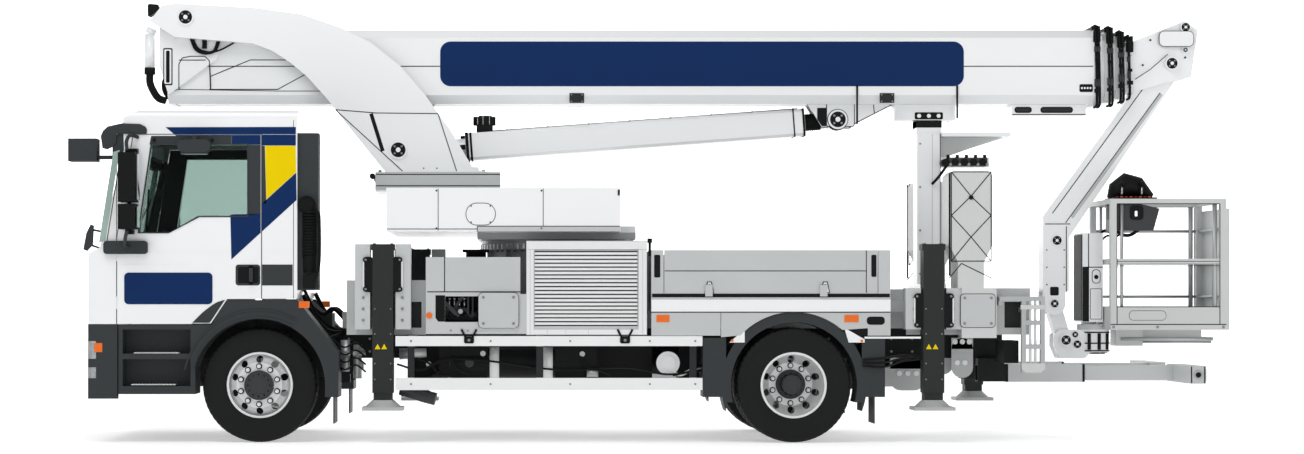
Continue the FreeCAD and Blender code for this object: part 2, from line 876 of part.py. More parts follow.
def tail_tube(name):
    """The outer square tube of the rear underrun arm."""
    y = (-at.tail_tube_y - at.tail_tube_size / 2, -at.tail_tube_y + at.tail_tube_size / 2)
    z = (at.tail_tube_bottom_z, at.tail_tube_bottom_z + at.tail_tube_size)
    outer = block(name + "_outer", (tail_start, at.tail_tube_rear_x), y, z)
    wall = at.tail_tube_wall
    inner = block(name + "_hollow", (tail_start - at.overrun, at.tail_tube_rear_x + at.overrun),
                  (y[0] + wall, y[1] - wall), (z[0] + wall, z[1] - wall))
    return cut(name, outer, inner)


def make_tail_bar():
    """The sliding underrun guard: two inner tubes and a bumper half on each."""
    gap = at.tail_tube_wall + at.slide_gap
    y = (-at.tail_tube_y - at.tail_tube_size / 2 + gap, -at.tail_tube_y + at.tail_tube_size / 2 - gap)
    z = (at.tail_tube_bottom_z + gap, at.tail_tube_bottom_z + at.tail_tube_size - gap)
    tube = block("tail_inner", (at.tail_inner_front_x, at.tail_end_x), y, z)
    guard = block("tail_guard", (at.tail_end_x, at.tail_end_x + at.tail_bar_length),
                  (-at.tail_bar_outer_y, -at.tail_bar_inner_y),
                  (at.tail_tube_bottom_z, at.tail_tube_bottom_z + at.tail_tube_size))
    node("tail_bar", both("tail_bar_all", fuse("tail_bar_left", tube, guard)))


def make_drivetrain():
    """Engine block, gearbox and the shaft to the rear axle."""
    engine_rear = at.engine_front_x + at.engine_length
    engine = block("engine", (at.engine_front_x, engine_rear),
                   (-at.engine_width / 2, at.engine_width / 2),
                   (at.engine_bottom_z, at.engine_top_z))
    box_low = (at.engine_bottom_z + at.engine_top_z) / 2 - at.gearbox_height / 2
    box_rear = engine_rear + at.gearbox_length
    gearbox = block("gearbox", (engine_rear, box_rear), (-at.gearbox_width / 2, at.gearbox_width / 2),
                    (box_low, box_low + at.gearbox_height))
    nose = rear_axle_x - at.diff_diameter / 2
    shaft = slanted("shaft", (box_rear - at.overrun, box_low + at.shaft_diameter / 2),
                    (nose - at.shaft_diameter, axle_z + at.shaft_diameter), ZERO, at.shaft_diameter)
    mount_x = (engine_rear - 2 * at.gearbox_height / 3, engine_rear - at.gearbox_height / 3)
    mount = block("engine_mount", mount_x, (at.rail_wall - frame_side, at.overrun - at.engine_width / 2),
                  (rail_bottom + 2 * at.rail_wall, rail_bottom + at.rail_height / 2))
    node("drivetrain", fuse("drivetrain_all", engine, gearbox, shaft, mount,
                            across("engine_mount_right", mount)))


# Cab
def cab_skin(name, inset, half):
    """The closed cab body with its roof edges rounded."""
    front = at.cab_front_x + inset
    top = at.roof_edge_z + at.roof_crown - inset
    rear = at.cab_rear_x - inset
    floor = at.cab_floor_z if inset is ZERO else at.cab_floor_z + at.cab_floor
    outline = [(front, floor), (front, at.screen_foot_z - at.cab_edge),
               (at.screen_foot_x + inset, at.screen_foot_z),
               (at.screen_head_x + inset, at.screen_head_z),
               (at.door_front_x + inset + at.visor_drop / 4, top - at.roof_crown),
               (at.roof_front_x + inset, top), (rear, top), (rear, floor)]
    body = prism(name, "xz", outline, -half, half)
    level = top.value

    def roof_edge(edge):
        return all(abs(vertex.Point.z - level) < 1 for vertex in edge.Vertexes) and parallel_to("x")(edge)
    return rounded(body, at.roof_crown, roof_edge)


def door_outline(gap):
    """Side view of a door; gap makes the opening in the shell larger than the door."""
    return [(at.door_front_x - gap, at.cab_bottom_z - gap), (at.door_front_x - gap, at.belt_z),
            (at.door_front_x + at.door_top_lead - gap, at.door_top_z + gap),
            (at.door_rear_x + gap, at.door_top_z + gap), (at.door_rear_x + gap, at.arch_top_z - gap),
            (at.door_arch_x - gap, at.arch_top_z - gap),
            (at.door_step_x - gap, at.cab_bottom_z - gap)]


def window_outline(inset):
    """Side view of the door's window, drawn inside its edge by inset."""
    return [(at.window_front_x + inset, at.window_front_z + inset),
            (at.window_head_x + inset, at.window_top_z - inset),
            (at.window_rear_x - inset, at.window_top_z - inset),
            (at.window_rear_x - inset, at.window_rear_z + inset),
            (at.window_drop_rear_x, at.window_rear_z + inset),
            (at.window_drop_front_x, at.window_front_z + inset)]


def screen_outline(margin):
    """Front view of the windscreen opening in the (y, z) plane."""
    side = half_width - at.cab_wall - margin
    return [(-side, at.screen_foot_z + margin), (side, at.screen_foot_z + margin),
            (side - margin, at.screen_head_z - margin), (margin - side, at.screen_head_z - margin)]


def make_cab_shell():
    """The hollow cab: floor, walls, roof, door openings and windscreen opening."""
    outer = cab_skin("cab_outer", ZERO, half_width)
    inner = cab_skin("cab_inner", at.cab_panel, half_width - at.cab_wall)
    door = prism("door_opening", "xz", door_outline(at.panel_gap), -half_width - at.overrun,
                 at.cab_wall - half_width)
    screen = prism("screen_opening", "yz", screen_outline(ZERO), at.cab_front_x - at.overrun,
                   at.roof_front_x)
    below = lower_cab()
    shell = cut("cab_shell_all", fuse("cab_solid", outer, below), inner, door,
                across("door_opening_right", door), screen)
    node("cab_shell", shell)


def lower_cab():
    """The front panel and corner below the floor, in front of the doors."""
    front = block("cab_nose", (at.cab_front_x, at.cab_front_x + at.cab_wall), (-half_width, half_width),
                  (at.cab_bottom_z, at.cab_floor_z + at.cab_floor))
    side = block("cab_corner", (at.cab_front_x, at.door_front_x - at.panel_gap),
                 (-half_width, at.cab_wall - half_width),
                 (at.cab_bottom_z, at.cab_floor_z + at.cab_floor))
    mount = block("cab_mount", (at.cab_rear_x - at.rail_flange, at.cab_rear_x),
                  (-frame_side, -rail_inner),
                  (at.rail_top_z, at.cab_floor_z))
    front_mount = block("cab_front_mount", (at.rail_front_x, at.rail_front_x + at.rail_flange),
                        (-frame_side, -rail_inner), (at.rail_top_z, at.cab_floor_z))
    return fuse("lower_cab", front, side, across("cab_corner_right", side), mount,
                across("cab_mount_right", mount), front_mount,
                across("cab_front_mount_right", front_mount))


def make_doors():
    """Both doors with their window openings, glass, and mirrors."""
    panel = prism("door_panel", "xz", door_outline(ZERO), -half_width, at.cab_wall - half_width)
    opening = prism("door_window", "xz", window_outline(ZERO), -half_width - at.overrun,
                    at.cab_wall - half_width + at.overrun)
    knuckles = []
    for place_name, low in (("low", at.door_hinge_low_z), ("high", at.door_hinge_high_z)):
        knuckles.append(rod("door_hinge_" + place_name, "z", (at.door_front_x, -half_width, low),
                            at.door_hinge_length, at.door_hinge_diameter))
    door = fuse("door_hinged", cut("door_shape", panel, opening), *knuckles)
    node("door_left", door)
    node("door_right", across("door_right_shape", door))
    outer = at.glass_inset - half_width
    glass = prism("door_glass_shape", "xz", window_outline(at.fit_gap), outer, outer + at.glass_thickness)
    node("door_glass_left", glass)
    node("door_glass_right", across("door_glass_right_shape", glass))
    face = -half_width
    mirror_x = (at.mirror_front_x, at.mirror_front_x + at.mirror_depth)
    main_y = (face - at.mirror_reach, face - at.mirror_gap * 2)
    main = block("mirror_main", mirror_x, main_y,
                 (at.mirror_bottom_z, at.mirror_bottom_z + at.mirror_height))
    wide_top = at.mirror_bottom_z - at.mirror_gap
    wide = block("mirror_wide", mirror_x, main_y, (wide_top - at.wide_mirror_height, wide_top))
    bar_x = at.mirror_front_x + at.mirror_depth / 2
    bar_y = face - at.mirror_gap * 2 - at.mirror_arm
    bar = rod("mirror_bar", "z", (bar_x, bar_y, wide_top - at.wide_mirror_height - at.overrun),
              at.mirror_height + at.wide_mirror_height + at.mirror_gap + 2 * at.overrun, at.mirror_arm)
    foot_low = wide_top - at.wide_mirror_height - at.overrun
    foot = block("mirror_foot", (bar_x - at.mirror_arm, bar_x + at.mirror_arm),
                 (bar_y - at.mirror_arm / 2, face),
                 (foot_low, foot_low + at.mirror_arm))
    head_low = at.mirror_bottom_z + at.mirror_height + at.overrun - at.mirror_arm
    head = block("mirror_head", (bar_x - at.mirror_arm, bar_x + 2 * at.mirror_arm),
                 (bar_y - at.mirror_arm / 2, face),
                 (head_low, head_low + at.mirror_arm))
    mirror = fuse("mirror_shape", main, wide, bar, foot, head)
    node("mirror_left", mirror)
    node("mirror_right", across("mirror_right_shape", mirror))


def make_windscreen():
    """The raked screen, cut from a slab that follows the screen pillars."""
    low, high = at.screen_foot_z, at.screen_head_z
    back = at.cab_panel / 2
    slab = prism("screen_slab", "xz",
                 [(at.screen_foot_x + back, low), (at.screen_head_x + back, high),
                  (at.screen_head_x + back + at.screen_thickness, high),
                  (at.screen_foot_x + back + at.screen_thickness, low)], -half_width, half_width)
    frame = prism("screen_shape", "yz", screen_outline(at.fit_gap), at.cab_front_x, at.roof_front_x)
    glass = doc.addObject("Part::MultiCommon", "screen_glass")
    glass.Shapes = [slab, frame]
    node("windscreen", glass)


def make_bumper():
    """The wrapped bumper with grille bars above it and pockets for the lamps."""
    rear = at.cab_front_x + at.bumper_depth
    top = at.cab_bottom_z - at.slide_gap
    outer = block("bumper_outer", (at.cab_front_x, rear), (-half_width, half_width),
                  (at.bumper_bottom_z, top))
    inner = block("bumper_inner", (at.cab_front_x + at.bumper_wall, rear + at.overrun),
                  (at.bumper_wall - half_width, half_width - at.bumper_wall),
                  (at.bumper_bottom_z - at.overrun, top + at.overrun))
    pockets = []
    for name, low, height, width in (("lamp", at.lamp_bottom_z, at.lamp_height, at.lamp_width),
                                     ("fog", at.fog_bottom_z, at.fog_height, at.fog_width)):
        pocket = block(name + "_pocket",
                       (at.cab_front_x - at.overrun, at.cab_front_x + at.bumper_wall + at.overrun),
                       (-half_width - at.overrun, at.bumper_wall - half_width + width),
                       (low, low + height))
        pockets += [pocket, across(name + "_pocket_right", pocket)]
    shell = cut("bumper_shell", outer, inner, *pockets)
    rail_bar = block("bumper_carrier", (at.cab_front_x + at.bumper_wall, at.rail_front_x),
                     (-frame_side, -rail_inner), (rail_bottom, rail_bottom + at.cross_member))
    node("bumper", fuse("bumper_all", shell, rail_bar, across("bumper_carrier_right", rail_bar)))
    lamps = []
    gap = at.slide_gap
    for name, low, height, width in (("head_lamp", at.lamp_bottom_z, at.lamp_height, at.lamp_width),
                                     ("fog_lamp", at.fog_bottom_z, at.fog_height, at.fog_width)):
        depth = at.bumper_wall
        face = block(name + "_front", (at.cab_front_x, at.cab_front_x + depth),
                     (-half_width, at.bumper_wall - half_width + width - gap),
                     (low + gap, low + height - gap))
        side = block(name + "_side", (at.cab_front_x, at.cab_front_x + at.bumper_wall + at.overrun - gap),
                     (-half_width, at.bumper_wall - half_width), (low + gap, low + height - gap))
        lamp = fuse(name, face, side)
        lamps += [lamp, across(name + "_right", lamp)]
    node("headlamps", together("headlamps_all", *lamps))


def make_cladding():
    """Steps behind the bumper and the front wheel arches with their tails."""
    gap = at.slide_gap
    front = at.cab_front_x + at.bumper_depth + gap
    top = at.cab_bottom_z - at.panel_gap
    step = block("step_box", (front, at.step_rear_x), (-half_width, at.step_depth - half_width),
                 (at.bumper_bottom_z + at.overrun, top))
    recesses = []
    for name, low, high in (("upper", at.upper_step_z, top - at.overrun),
                            ("lower", at.lower_step_z, at.upper_step_z - 2 * at.tread_thickness)):
        recesses.append(block(f"step_{name}_recess", (front + at.overrun, at.step_rear_x - at.overrun),
                              (-half_width - at.overrun, at.step_recess - half_width), (low, high)))
    steps = cut("steps", step, *recesses)
    arch = wheel_arch()
    link = block("step_carrier", (at.step_rear_x - at.cross_member, at.step_rear_x),
                 (at.step_depth - half_width, -frame_side),
                 (at.rail_top_z - at.cross_member, at.rail_top_z - at.rail_wall))
    left = fuse("cladding_left", steps, arch, link)
    node("cab_cladding", both("cladding_all", left))


def wheel_arch():
    """The front wing: a flat-topped plate cut by the wheel circle, lined by a thin arch."""
    y = (-half_width, at.arch_width - half_width)
    x_front = at.step_rear_x
    x_tail = at.arch_tail_x
    top = at.arch_top_z - at.panel_gap - at.slide_gap
    lip = at.arch_outer_radius - at.arch_inner_radius
    outline = [(x_front, at.lower_step_z), (x_front, at.cab_bottom_z - at.panel_gap - at.slide_gap),
               (at.door_step_x, at.cab_bottom_z - at.panel_gap - at.slide_gap),
               (at.door_arch_x, top), (at.cab_rear_x, top),
               (x_tail + lip / 2, axle_z + at.arch_inner_radius / 2),
               (x_tail + lip / 2, at.arch_tail_z), (x_front, at.arch_tail_z)]
    plate = prism("arch_plate", "xz", outline, *y)
    wheel_cut = rod("arch_cut", "y", (at.front_axle_x, y[0] - at.overrun, axle_z),
                    at.arch_width + 2 * at.overrun,
                    2 * at.arch_inner_radius)
    below = block("arch_below", (at.front_axle_x - at.arch_inner_radius,
                                 at.front_axle_x + at.arch_inner_radius),
                  (y[0] - at.overrun, y[1] + at.overrun), (ZERO, axle_z))
    flap = block("front_flap", (x_tail, x_tail + at.flap_thickness), (y[0], y[1]),
                 (at.arch_tail_z - at.flap_height, at.arch_tail_z + at.overrun))
    shape = cut("arch_body", plate, wheel_cut, below)
    return fuse("arch", shape, flap)


def make_trim():
    """Sun visor, front mirror, and the intake stack behind the cab."""
    gap = at.slide_gap
    stack_y = (-half_width + at.overrun, -half_width + at.overrun + at.stack_width)
    stack = block("stack", (at.cab_rear_x + gap, at.cab_rear_x + gap + at.stack_length), stack_y,
                  (at.stack_bottom_z, at.stack_top_z))
    front = at.front_mirror_x
    face = -half_width
    head = block("front_mirror_head", (front, front + at.front_mirror_length),
                 (face, face + at.front_mirror_width),
                 (at.front_mirror_z, at.front_mirror_z + at.front_mirror_height))
    arm = slanted("front_mirror_arm", (front + at.front_mirror_length / 2,
                                       at.front_mirror_z + at.mirror_arm),
                  (at.screen_head_x - at.overrun / 4, at.screen_head_z - at.cab_edge),
                  face + at.front_mirror_width / 2,
                  at.mirror_arm)
    outline = [(at.screen_head_x - at.visor_drop / 2, at.screen_head_z - at.cab_edge),
               (at.screen_head_x - at.visor_drop / 2, at.screen_head_z + at.cab_edge),
               (at.door_front_x + at.visor_drop / 4 - gap, at.roof_edge_z - at.overrun),
               (at.screen_head_x - gap, at.screen_head_z),
               (at.screen_head_x - gap - at.visor_thickness, at.screen_head_z - at.cab_edge)]
    visor = prism("visor", "xz", outline, -half_width, half_width)
    node("cab_trim", together("cab_trim_all", fuse("visor_set", head, arm, visor), stack))


def make_interior():
    """Dashboard, two seats and a raked steering wheel on the driver's side."""
    inner_front = at.cab_front_x + at.cab_panel
    gap = at.slide_gap
    side = half_width - at.cab_wall - at.panel_gap
    dash = prism("dash", "xz",
                 [(inner_front + gap, at.cab_floor_z + at.cab_floor),
                  (inner_front + gap, at.screen_foot_z - at.cab_edge),
                  (inner_front + at.dash_depth, at.screen_foot_z - at.cab_edge / 2),
                  (inner_front + at.dash_depth, at.screen_foot_z - at.dash_height),
                  (inner_front + at.dash_depth / 2, at.screen_foot_z - at.dash_height),
                  (inner_front + at.dash_depth / 2, at.cab_floor_z + at.cab_floor)], -side, side)
    floor = at.cab_floor_z + at.cab_floor
    seats = []
    for name, middle in (("passenger", -at.seat_spacing / 2), ("driver", at.seat_spacing / 2)):
        y = (middle - at.seat_width / 2, middle + at.seat_width / 2)
        seat_z = floor + at.seat_height
        base = block(name + "_base", (at.seat_front_x + at.overrun,
                                      at.seat_front_x + at.seat_depth - at.overrun),
                     (y[0] + at.overrun, y[1] - at.overrun), (floor, seat_z))
        pad = block(name + "_cushion", (at.seat_front_x, at.seat_front_x + at.seat_depth), y,
                    (seat_z, seat_z + at.seat_cushion))
        back = block(name + "_back", (at.seat_front_x + at.seat_depth,
                                      at.seat_front_x + at.seat_depth + at.seat_back_depth),
                     y, (seat_z, seat_z + at.seat_back_height))
        seats += [base, pad, back]
    column_start = (inner_front + at.dash_depth - at.overrun, at.screen_foot_z - at.dash_height / 2)
    column_end = (column_start[0] + at.wheel_ring_diameter / 2,
                  column_start[1] + at.wheel_ring_diameter / 3)
    column = slanted("column", column_start, column_end, at.seat_spacing / 2, at.column_diameter)
    ring = doc.addObject("Part::Torus", "steering_ring")
    bind(ring, Radius1=at.wheel_ring_diameter / 2, Radius2=at.wheel_ring_bar / 2)
    ring.Placement = FreeCAD.Placement(FreeCAD.Vector(), FreeCAD.Rotation(FreeCAD.Vector(0, 1, 0), 56))
    place(ring, column_end[0], at.seat_spacing / 2, column_end[1])
    spoke = block("steering_spoke", (column_end[0] - at.wheel_ring_bar / 2,
                                     column_end[0] + at.wheel_ring_bar / 2),
                  (at.seat_spacing / 2 - at.wheel_ring_diameter / 2,
                   at.seat_spacing / 2 + at.wheel_ring_diameter / 2),
                  (column_end[1] - at.wheel_ring_bar / 2, column_end[1] + at.wheel_ring_bar / 2))
    node("cab_interior", together("interior_all", fuse("dash_set", dash, column, ring, spoke),
                                  fuse("seat_left", *seats[:3]), fuse("seat_right", *seats[3:])))


# Support frame and outriggers
LEGS = {
    "front_left": (at.front_near_leg_x, -1),
    "front_right": (at.front_far_leg_x, 1),
    "rear_left": (at.rear_near_leg_x, -1),
    "rear_right": (at.rear_far_leg_x, 1),
}


def square_tube(name, x, y, z, wall):
    """A square tube along Y with open ends."""
    outer = block(name + "_outer", x, y, z)
    hollow = block(name + "_hollow", (x[0] + wall, x[1] - wall), (y[0] - at.overrun, y[1] + at.overrun),
                   (z[0] + wall, z[1] - wall))
    return outer, hollow


def make_support_frame():
    """Subframe on the rails, crossed by four outrigger tubes, with end plates and the slew pedestal."""
    solids, hollows = [], []
    sub_side = (-frame_side, -rail_inner)
    sub = block("subframe", (at.subframe_front_x, at.rail_rear_x), sub_side,
                (at.rail_top_z, subframe_top))
    solids += [sub, across("subframe_right", sub)]
    tube_z = (at.rail_top_z, at.rail_top_z + beam_box_height)
    for name, (middle, side) in LEGS.items():
        tube_x = (middle - beam_box_length / 2, middle + beam_box_length / 2)
        reach = (-plate_y, plate_y)
        outer, hollow = square_tube("tube_" + name, tube_x, reach, tube_z, at.beam_box_wall)
        solids.append(outer)
        hollows.append(hollow)
    past_leg = at.leg_size / 2 + at.leg_cap_margin + at.end_plate
    front_end = at.front_far_leg_x + past_leg
    rear_start = at.rear_near_leg_x - beam_box_length
    rear_end = at.rear_far_leg_x + past_leg
    for place_name, start, end, top in (("front", at.front_plate_x, front_end, at.end_plate_top_z),
                                        ("rear", rear_start, rear_end, at.rear_box_top_z)):
        plate = block("end_plate_" + place_name, (start, end), (-plate_y, -plate_y + at.end_plate),
                      (at.end_plate_bottom_z, top))
        solids += [plate, across("end_plate_right_" + place_name, plate)]
    floor_plate = block("pedestal_base",
                        (at.slew_x - at.pedestal_diameter / 2, at.slew_x + at.pedestal_diameter / 2),
                        (-at.pedestal_diameter / 2, at.pedestal_diameter / 2),
                        (subframe_top - at.end_plate, subframe_top + at.end_plate))
    pedestal = rod("pedestal", "z", (at.slew_x, ZERO, subframe_top), at.pedestal_top_z - subframe_top,
                   at.pedestal_diameter)
    ring = rod("ring_body", "z", (at.slew_x, ZERO, at.pedestal_top_z), at.ring_height, at.ring_diameter)
    solids += [floor_plate, pedestal, ring]
    shape = cut("support_shape", fuse("support_solid", *solids), *hollows)
    guides = []
    for name, (middle, side) in LEGS.items():
        top = at.guide_top_z if name.startswith("front") else at.rear_box_top_z
        face = (-plate_y - at.guide_depth, -plate_y - at.slide_gap)
        for way, post in ((-1, "fore"), (1, "aft")):
            near = middle + way * (at.leg_size / 2 + at.leg_cap_margin)
            far = near + way * at.guide_width
            x = (far, near) if way < 0 else (near, far)
            guide = block(f"guide_{name}_{post}", x, face, (at.guide_bottom_z, top))
            guides.append(guide if side < 0 else across(f"guide_{name}_{post}_right", guide))
    node("support_frame", together("support_all", shape, *guides))


def make_outriggers():
    """Each leg: a sliding beam with the jack's housing, and the jack with its foot."""
    for name, (middle, side) in LEGS.items():
        leg_x = (middle - at.leg_size / 2, middle + at.leg_size / 2)
        leg_y = (-half_width, -leg_inner_y)
        housing = block("leg_" + name, leg_x, leg_y, (at.leg_bottom_z, at.leg_top_z))
        margin = at.leg_cap_margin
        cap = block("leg_cap_" + name, (leg_x[0] - margin / 2, leg_x[1] + margin / 2), leg_y,
                    (at.leg_top_z, at.leg_top_z + at.leg_cap))
        wall = at.leg_wall
        hollow = block("leg_hollow_" + name, (leg_x[0] + wall, leg_x[1] - wall),
                       (leg_y[0] + wall, leg_y[1] - wall),
                       (at.leg_bottom_z - at.overrun, at.leg_top_z))
        low = at.rail_top_z + at.beam_box_wall + at.slide_gap
        beam = block("beam_" + name, (middle - at.beam_size_x / 2, middle + at.beam_size_x / 2),
                     (-leg_inner_y, plate_y - at.beam_end_margin), (low, low + at.beam_size_z))
        arm = fuse("arm_" + name, cut("leg_shape_" + name, fuse("leg_solid_" + name, housing, cap),
                                      hollow), beam)
        gap = wall + at.slide_gap
        inner = block("jack_tube_" + name, (leg_x[0] + gap, leg_x[1] - gap),
                      (leg_y[0] + gap, leg_y[1] - gap),
                      (at.foot_bottom_z + at.foot_height, at.leg_top_z - at.overrun))
        hub_high = at.foot_bottom_z + at.foot_height + at.foot_hub_height
        mid_y = (leg_y[0] + leg_y[1]) / 2
        foot = block("foot_" + name, (middle - at.foot_length / 2, middle + at.foot_length / 2),
                     (mid_y - at.foot_length / 2 + margin, mid_y + at.foot_length / 2 - margin),
                     (at.foot_bottom_z, at.foot_bottom_z + at.foot_height))
        skirt = doc.addObject("Part::Cone", "foot_cone_" + name)
        bind(skirt, Radius1=at.foot_length / 2 - margin, Radius2=at.leg_size / 2,
             Height=hub_high - at.foot_bottom_z - at.foot_height)
        place(skirt, middle, mid_y, at.foot_bottom_z + at.foot_height)
        jack = fuse("jack_shape_" + name, inner, foot, skirt)
        if side > 0:
            arm = across("arm_right_" + name, arm)
            jack = across("jack_right_" + name, jack)
        node("outrigger_beam_" + name, arm)
        node("outrigger_jack_" + name, jack)


# Bodywork
def shutter_cabinet(name):
    """A cabinet whose front is a recessed roller shutter of thin slats over a tray."""
    y = (-half_width, at.cabinet_depth - half_width)
    box = block(name + "_box", (at.cabinet_front_x, at.cabinet_rear_x), y,
                (at.cabinet_bottom_z, at.cabinet_top_z))
    low = at.cabinet_bottom_z + at.cabinet_frame
    high = at.cabinet_top_z - at.cabinet_frame
    x = (at.cabinet_front_x + at.cabinet_frame, at.cabinet_rear_x - at.cabinet_frame)
    recess = block(name + "_recess", x, (y[0] - at.overrun, y[0] + at.shutter_recess), (low, high))
    body = cut(name + "_frame", box, recess)
    pitch = (high - low) / at.slat_count
    first = prism(name + "_slat", "yz",
                  [(y[0] + at.shutter_recess, low),
                   (y[0] + at.shutter_recess - at.slat_depth, low + pitch / 5),
                   (y[0] + at.shutter_recess - at.slat_depth, low + 4 * pitch / 5),
                   (y[0] + at.shutter_recess, low + pitch)], *x)
    slats = [first]
    for number in range(1, round(at.slat_count.value)):
        slats.append(moved(f"{name}_slat_{number}", first, z=number * pitch))
    return fuse(name, body, *slats)


def locker_bank(name, front):
    """A box tube over an open bay and a lidded locker, up to the roller cabinet, on a rail bracket."""
    y = (-half_width, at.locker_bank_depth - half_width)
    bank = block(name, (front, at.cabinet_front_x), y, (at.locker_bank_bottom_z, at.locker_bank_top_z))
    bay = block(name + "_bay", (at.bay_front_x + at.bay_margin, at.bay_rear_x),
                (y[0] - at.overrun, y[0] + at.bay_depth),
                (at.bay_bottom_z, at.locker_bank_top_z - at.end_plate))
    tube = block(name + "_tube", (front, at.box_tube_rear_x), y,
                 (at.locker_bank_top_z, at.box_tube_top_z))
    lid = block(name + "_lid", (at.locker_front_x, at.locker_rear_x), (y[0] - at.locker_lid, y[0]),
                (at.locker_bank_bottom_z + at.overrun, at.locker_bank_top_z))
    low = at.locker_bank_bottom_z + at.end_plate
    bracket_z = (low, low + at.bracket_thickness)
    bracket = block(name + "_bracket", (front, at.cabinet_front_x), (y[1], -frame_side), bracket_z)
    stay = block(name + "_stay", (at.cabinet_front_x, at.cabinet_rear_x),
                 (at.cabinet_depth - half_width, -frame_side),
                 bracket_z)
    return fuse(name + "_set", cut(name + "_shape", bank, bay), tube, lid, bracket, stay)


def make_side_cabinets():
    """Roller cabinets with a locker bank before them, on both sides."""
    cabinet = shutter_cabinet("cabinet")
    reach = at.leg_size / 2 + at.leg_cap_margin + at.guide_width + at.panel_gap
    past_box = at.front_far_leg_x + at.leg_size / 2 + at.leg_cap_margin + at.end_plate + at.panel_gap
    left = fuse("cabinets_left", locker_bank("bank_left", past_box), cabinet)
    right = fuse("cabinets_right", locker_bank("bank_right", at.front_far_leg_x + reach),
                 moved("cabinet_twin", cabinet))
    node("side_cabinets", together("side_cabinets_all", left, across("cabinets_right_side", right)))


def make_load_bed():
    """Floor, side beams, cross beams, corner posts and skirts, leaving the wheel arcs open."""
    x = (at.bed_front_x, at.bed_rear_x)
    floor_low = at.bed_top_z - at.bed_floor
    floor = block("bed_floor_plate", x, (-half_width, half_width), (floor_low, at.bed_top_z))
    beam = block("bed_beam", x, (-half_width, at.bed_beam_width - half_width),
                 (at.bed_beam_bottom_z, floor_low))
    parts = [floor, beam, across("bed_beam_right", beam)]
    count = round(at.bed_cross_count.value)
    for number in range(count):
        start = x[0] + number * (x[1] - x[0] - at.bed_cross) / (count - 1)
        parts.append(block(f"bed_cross_{number}", (start, start + at.bed_cross),
                           (-half_width, half_width),
                           (subframe_top, floor_low)))
    for name, start in (("front", x[0]), ("rear", x[1] - at.bed_post)):
        post = block("bed_post_" + name, (start, start + at.bed_post),
                     (-half_width, at.bed_post - half_width),
                     (at.bed_top_z, at.board_top_z))
        wall = block("bed_wall_" + name, (start, start + at.board_thickness) if name == "front" else
                     (start + at.bed_post - at.board_thickness, start + at.bed_post),
                     (at.bed_post - half_width, half_width - at.bed_post), (at.bed_top_z, at.board_top_z))
        parts += [post, across("bed_post_right_" + name, post), wall]
    reach = at.wing_outer_radius + at.panel_gap
    for name, start, end in (("front", x[0], rear_axle_x - reach), ("rear", rear_axle_x + reach, x[1])):
        skirt = block("skirt_" + name, (start, end), (-half_width, at.skirt_thickness - half_width),
                      (at.skirt_bottom_z, at.bed_beam_bottom_z))
        parts += [skirt, across("skirt_right_" + name, skirt)]
    parts.append(block("bed_sheet", (x[0] + at.bed_post + at.panel_gap,
                                     x[1] - at.bed_post - at.panel_gap),
                       (2 * at.board_thickness - half_width, half_width - 2 * at.board_thickness),
                       (at.bed_top_z, at.bed_top_z + at.bed_sheet)))
    node("load_bed", fuse("load_bed_all", *parts))


BOARD_HINGE_SHARES = (0.24, 0.72)


def make_drop_sides():
    """Hinged boards between the bed posts."""
    gap = at.panel_gap
    board = block("board", (at.bed_front_x + at.bed_post + gap, at.bed_rear_x - at.bed_post - gap),
                  (-half_width, at.board_thickness - half_width),
                  (at.bed_top_z + at.slide_gap, at.board_top_z))
    parts = [board]
    axis_y = -half_width - at.board_hinge_reach
    axis_z = at.bed_top_z - at.board_hinge_drop
    radius = at.board_hinge_diameter / 2
    for number, share in enumerate(BOARD_HINGE_SHARES):
        middle = at.bed_front_x + share * (at.bed_rear_x - at.bed_front_x)
        x = (middle - at.board_hinge_length / 2, middle + at.board_hinge_length / 2)
        parts += [rod(f"board_hinge_{number}", "x", (x[0], axis_y, axis_z), at.board_hinge_length,
                      at.board_hinge_diameter),
                  block(f"board_strap_{number}", x, (axis_y - radius, axis_y + radius),
                        (axis_z, axis_z + 2 * at.board_hinge_drop)),
                  block(f"board_leaf_{number}", x, (axis_y - radius, at.board_thickness / 2 - half_width),
                        (at.bed_top_z + radius / 2, axis_z + at.board_strap_height))]
    hinged = fuse("board_hinged", *parts)
    node("drop_side_left", hinged)
    node("drop_side_right", across("board_right", hinged))


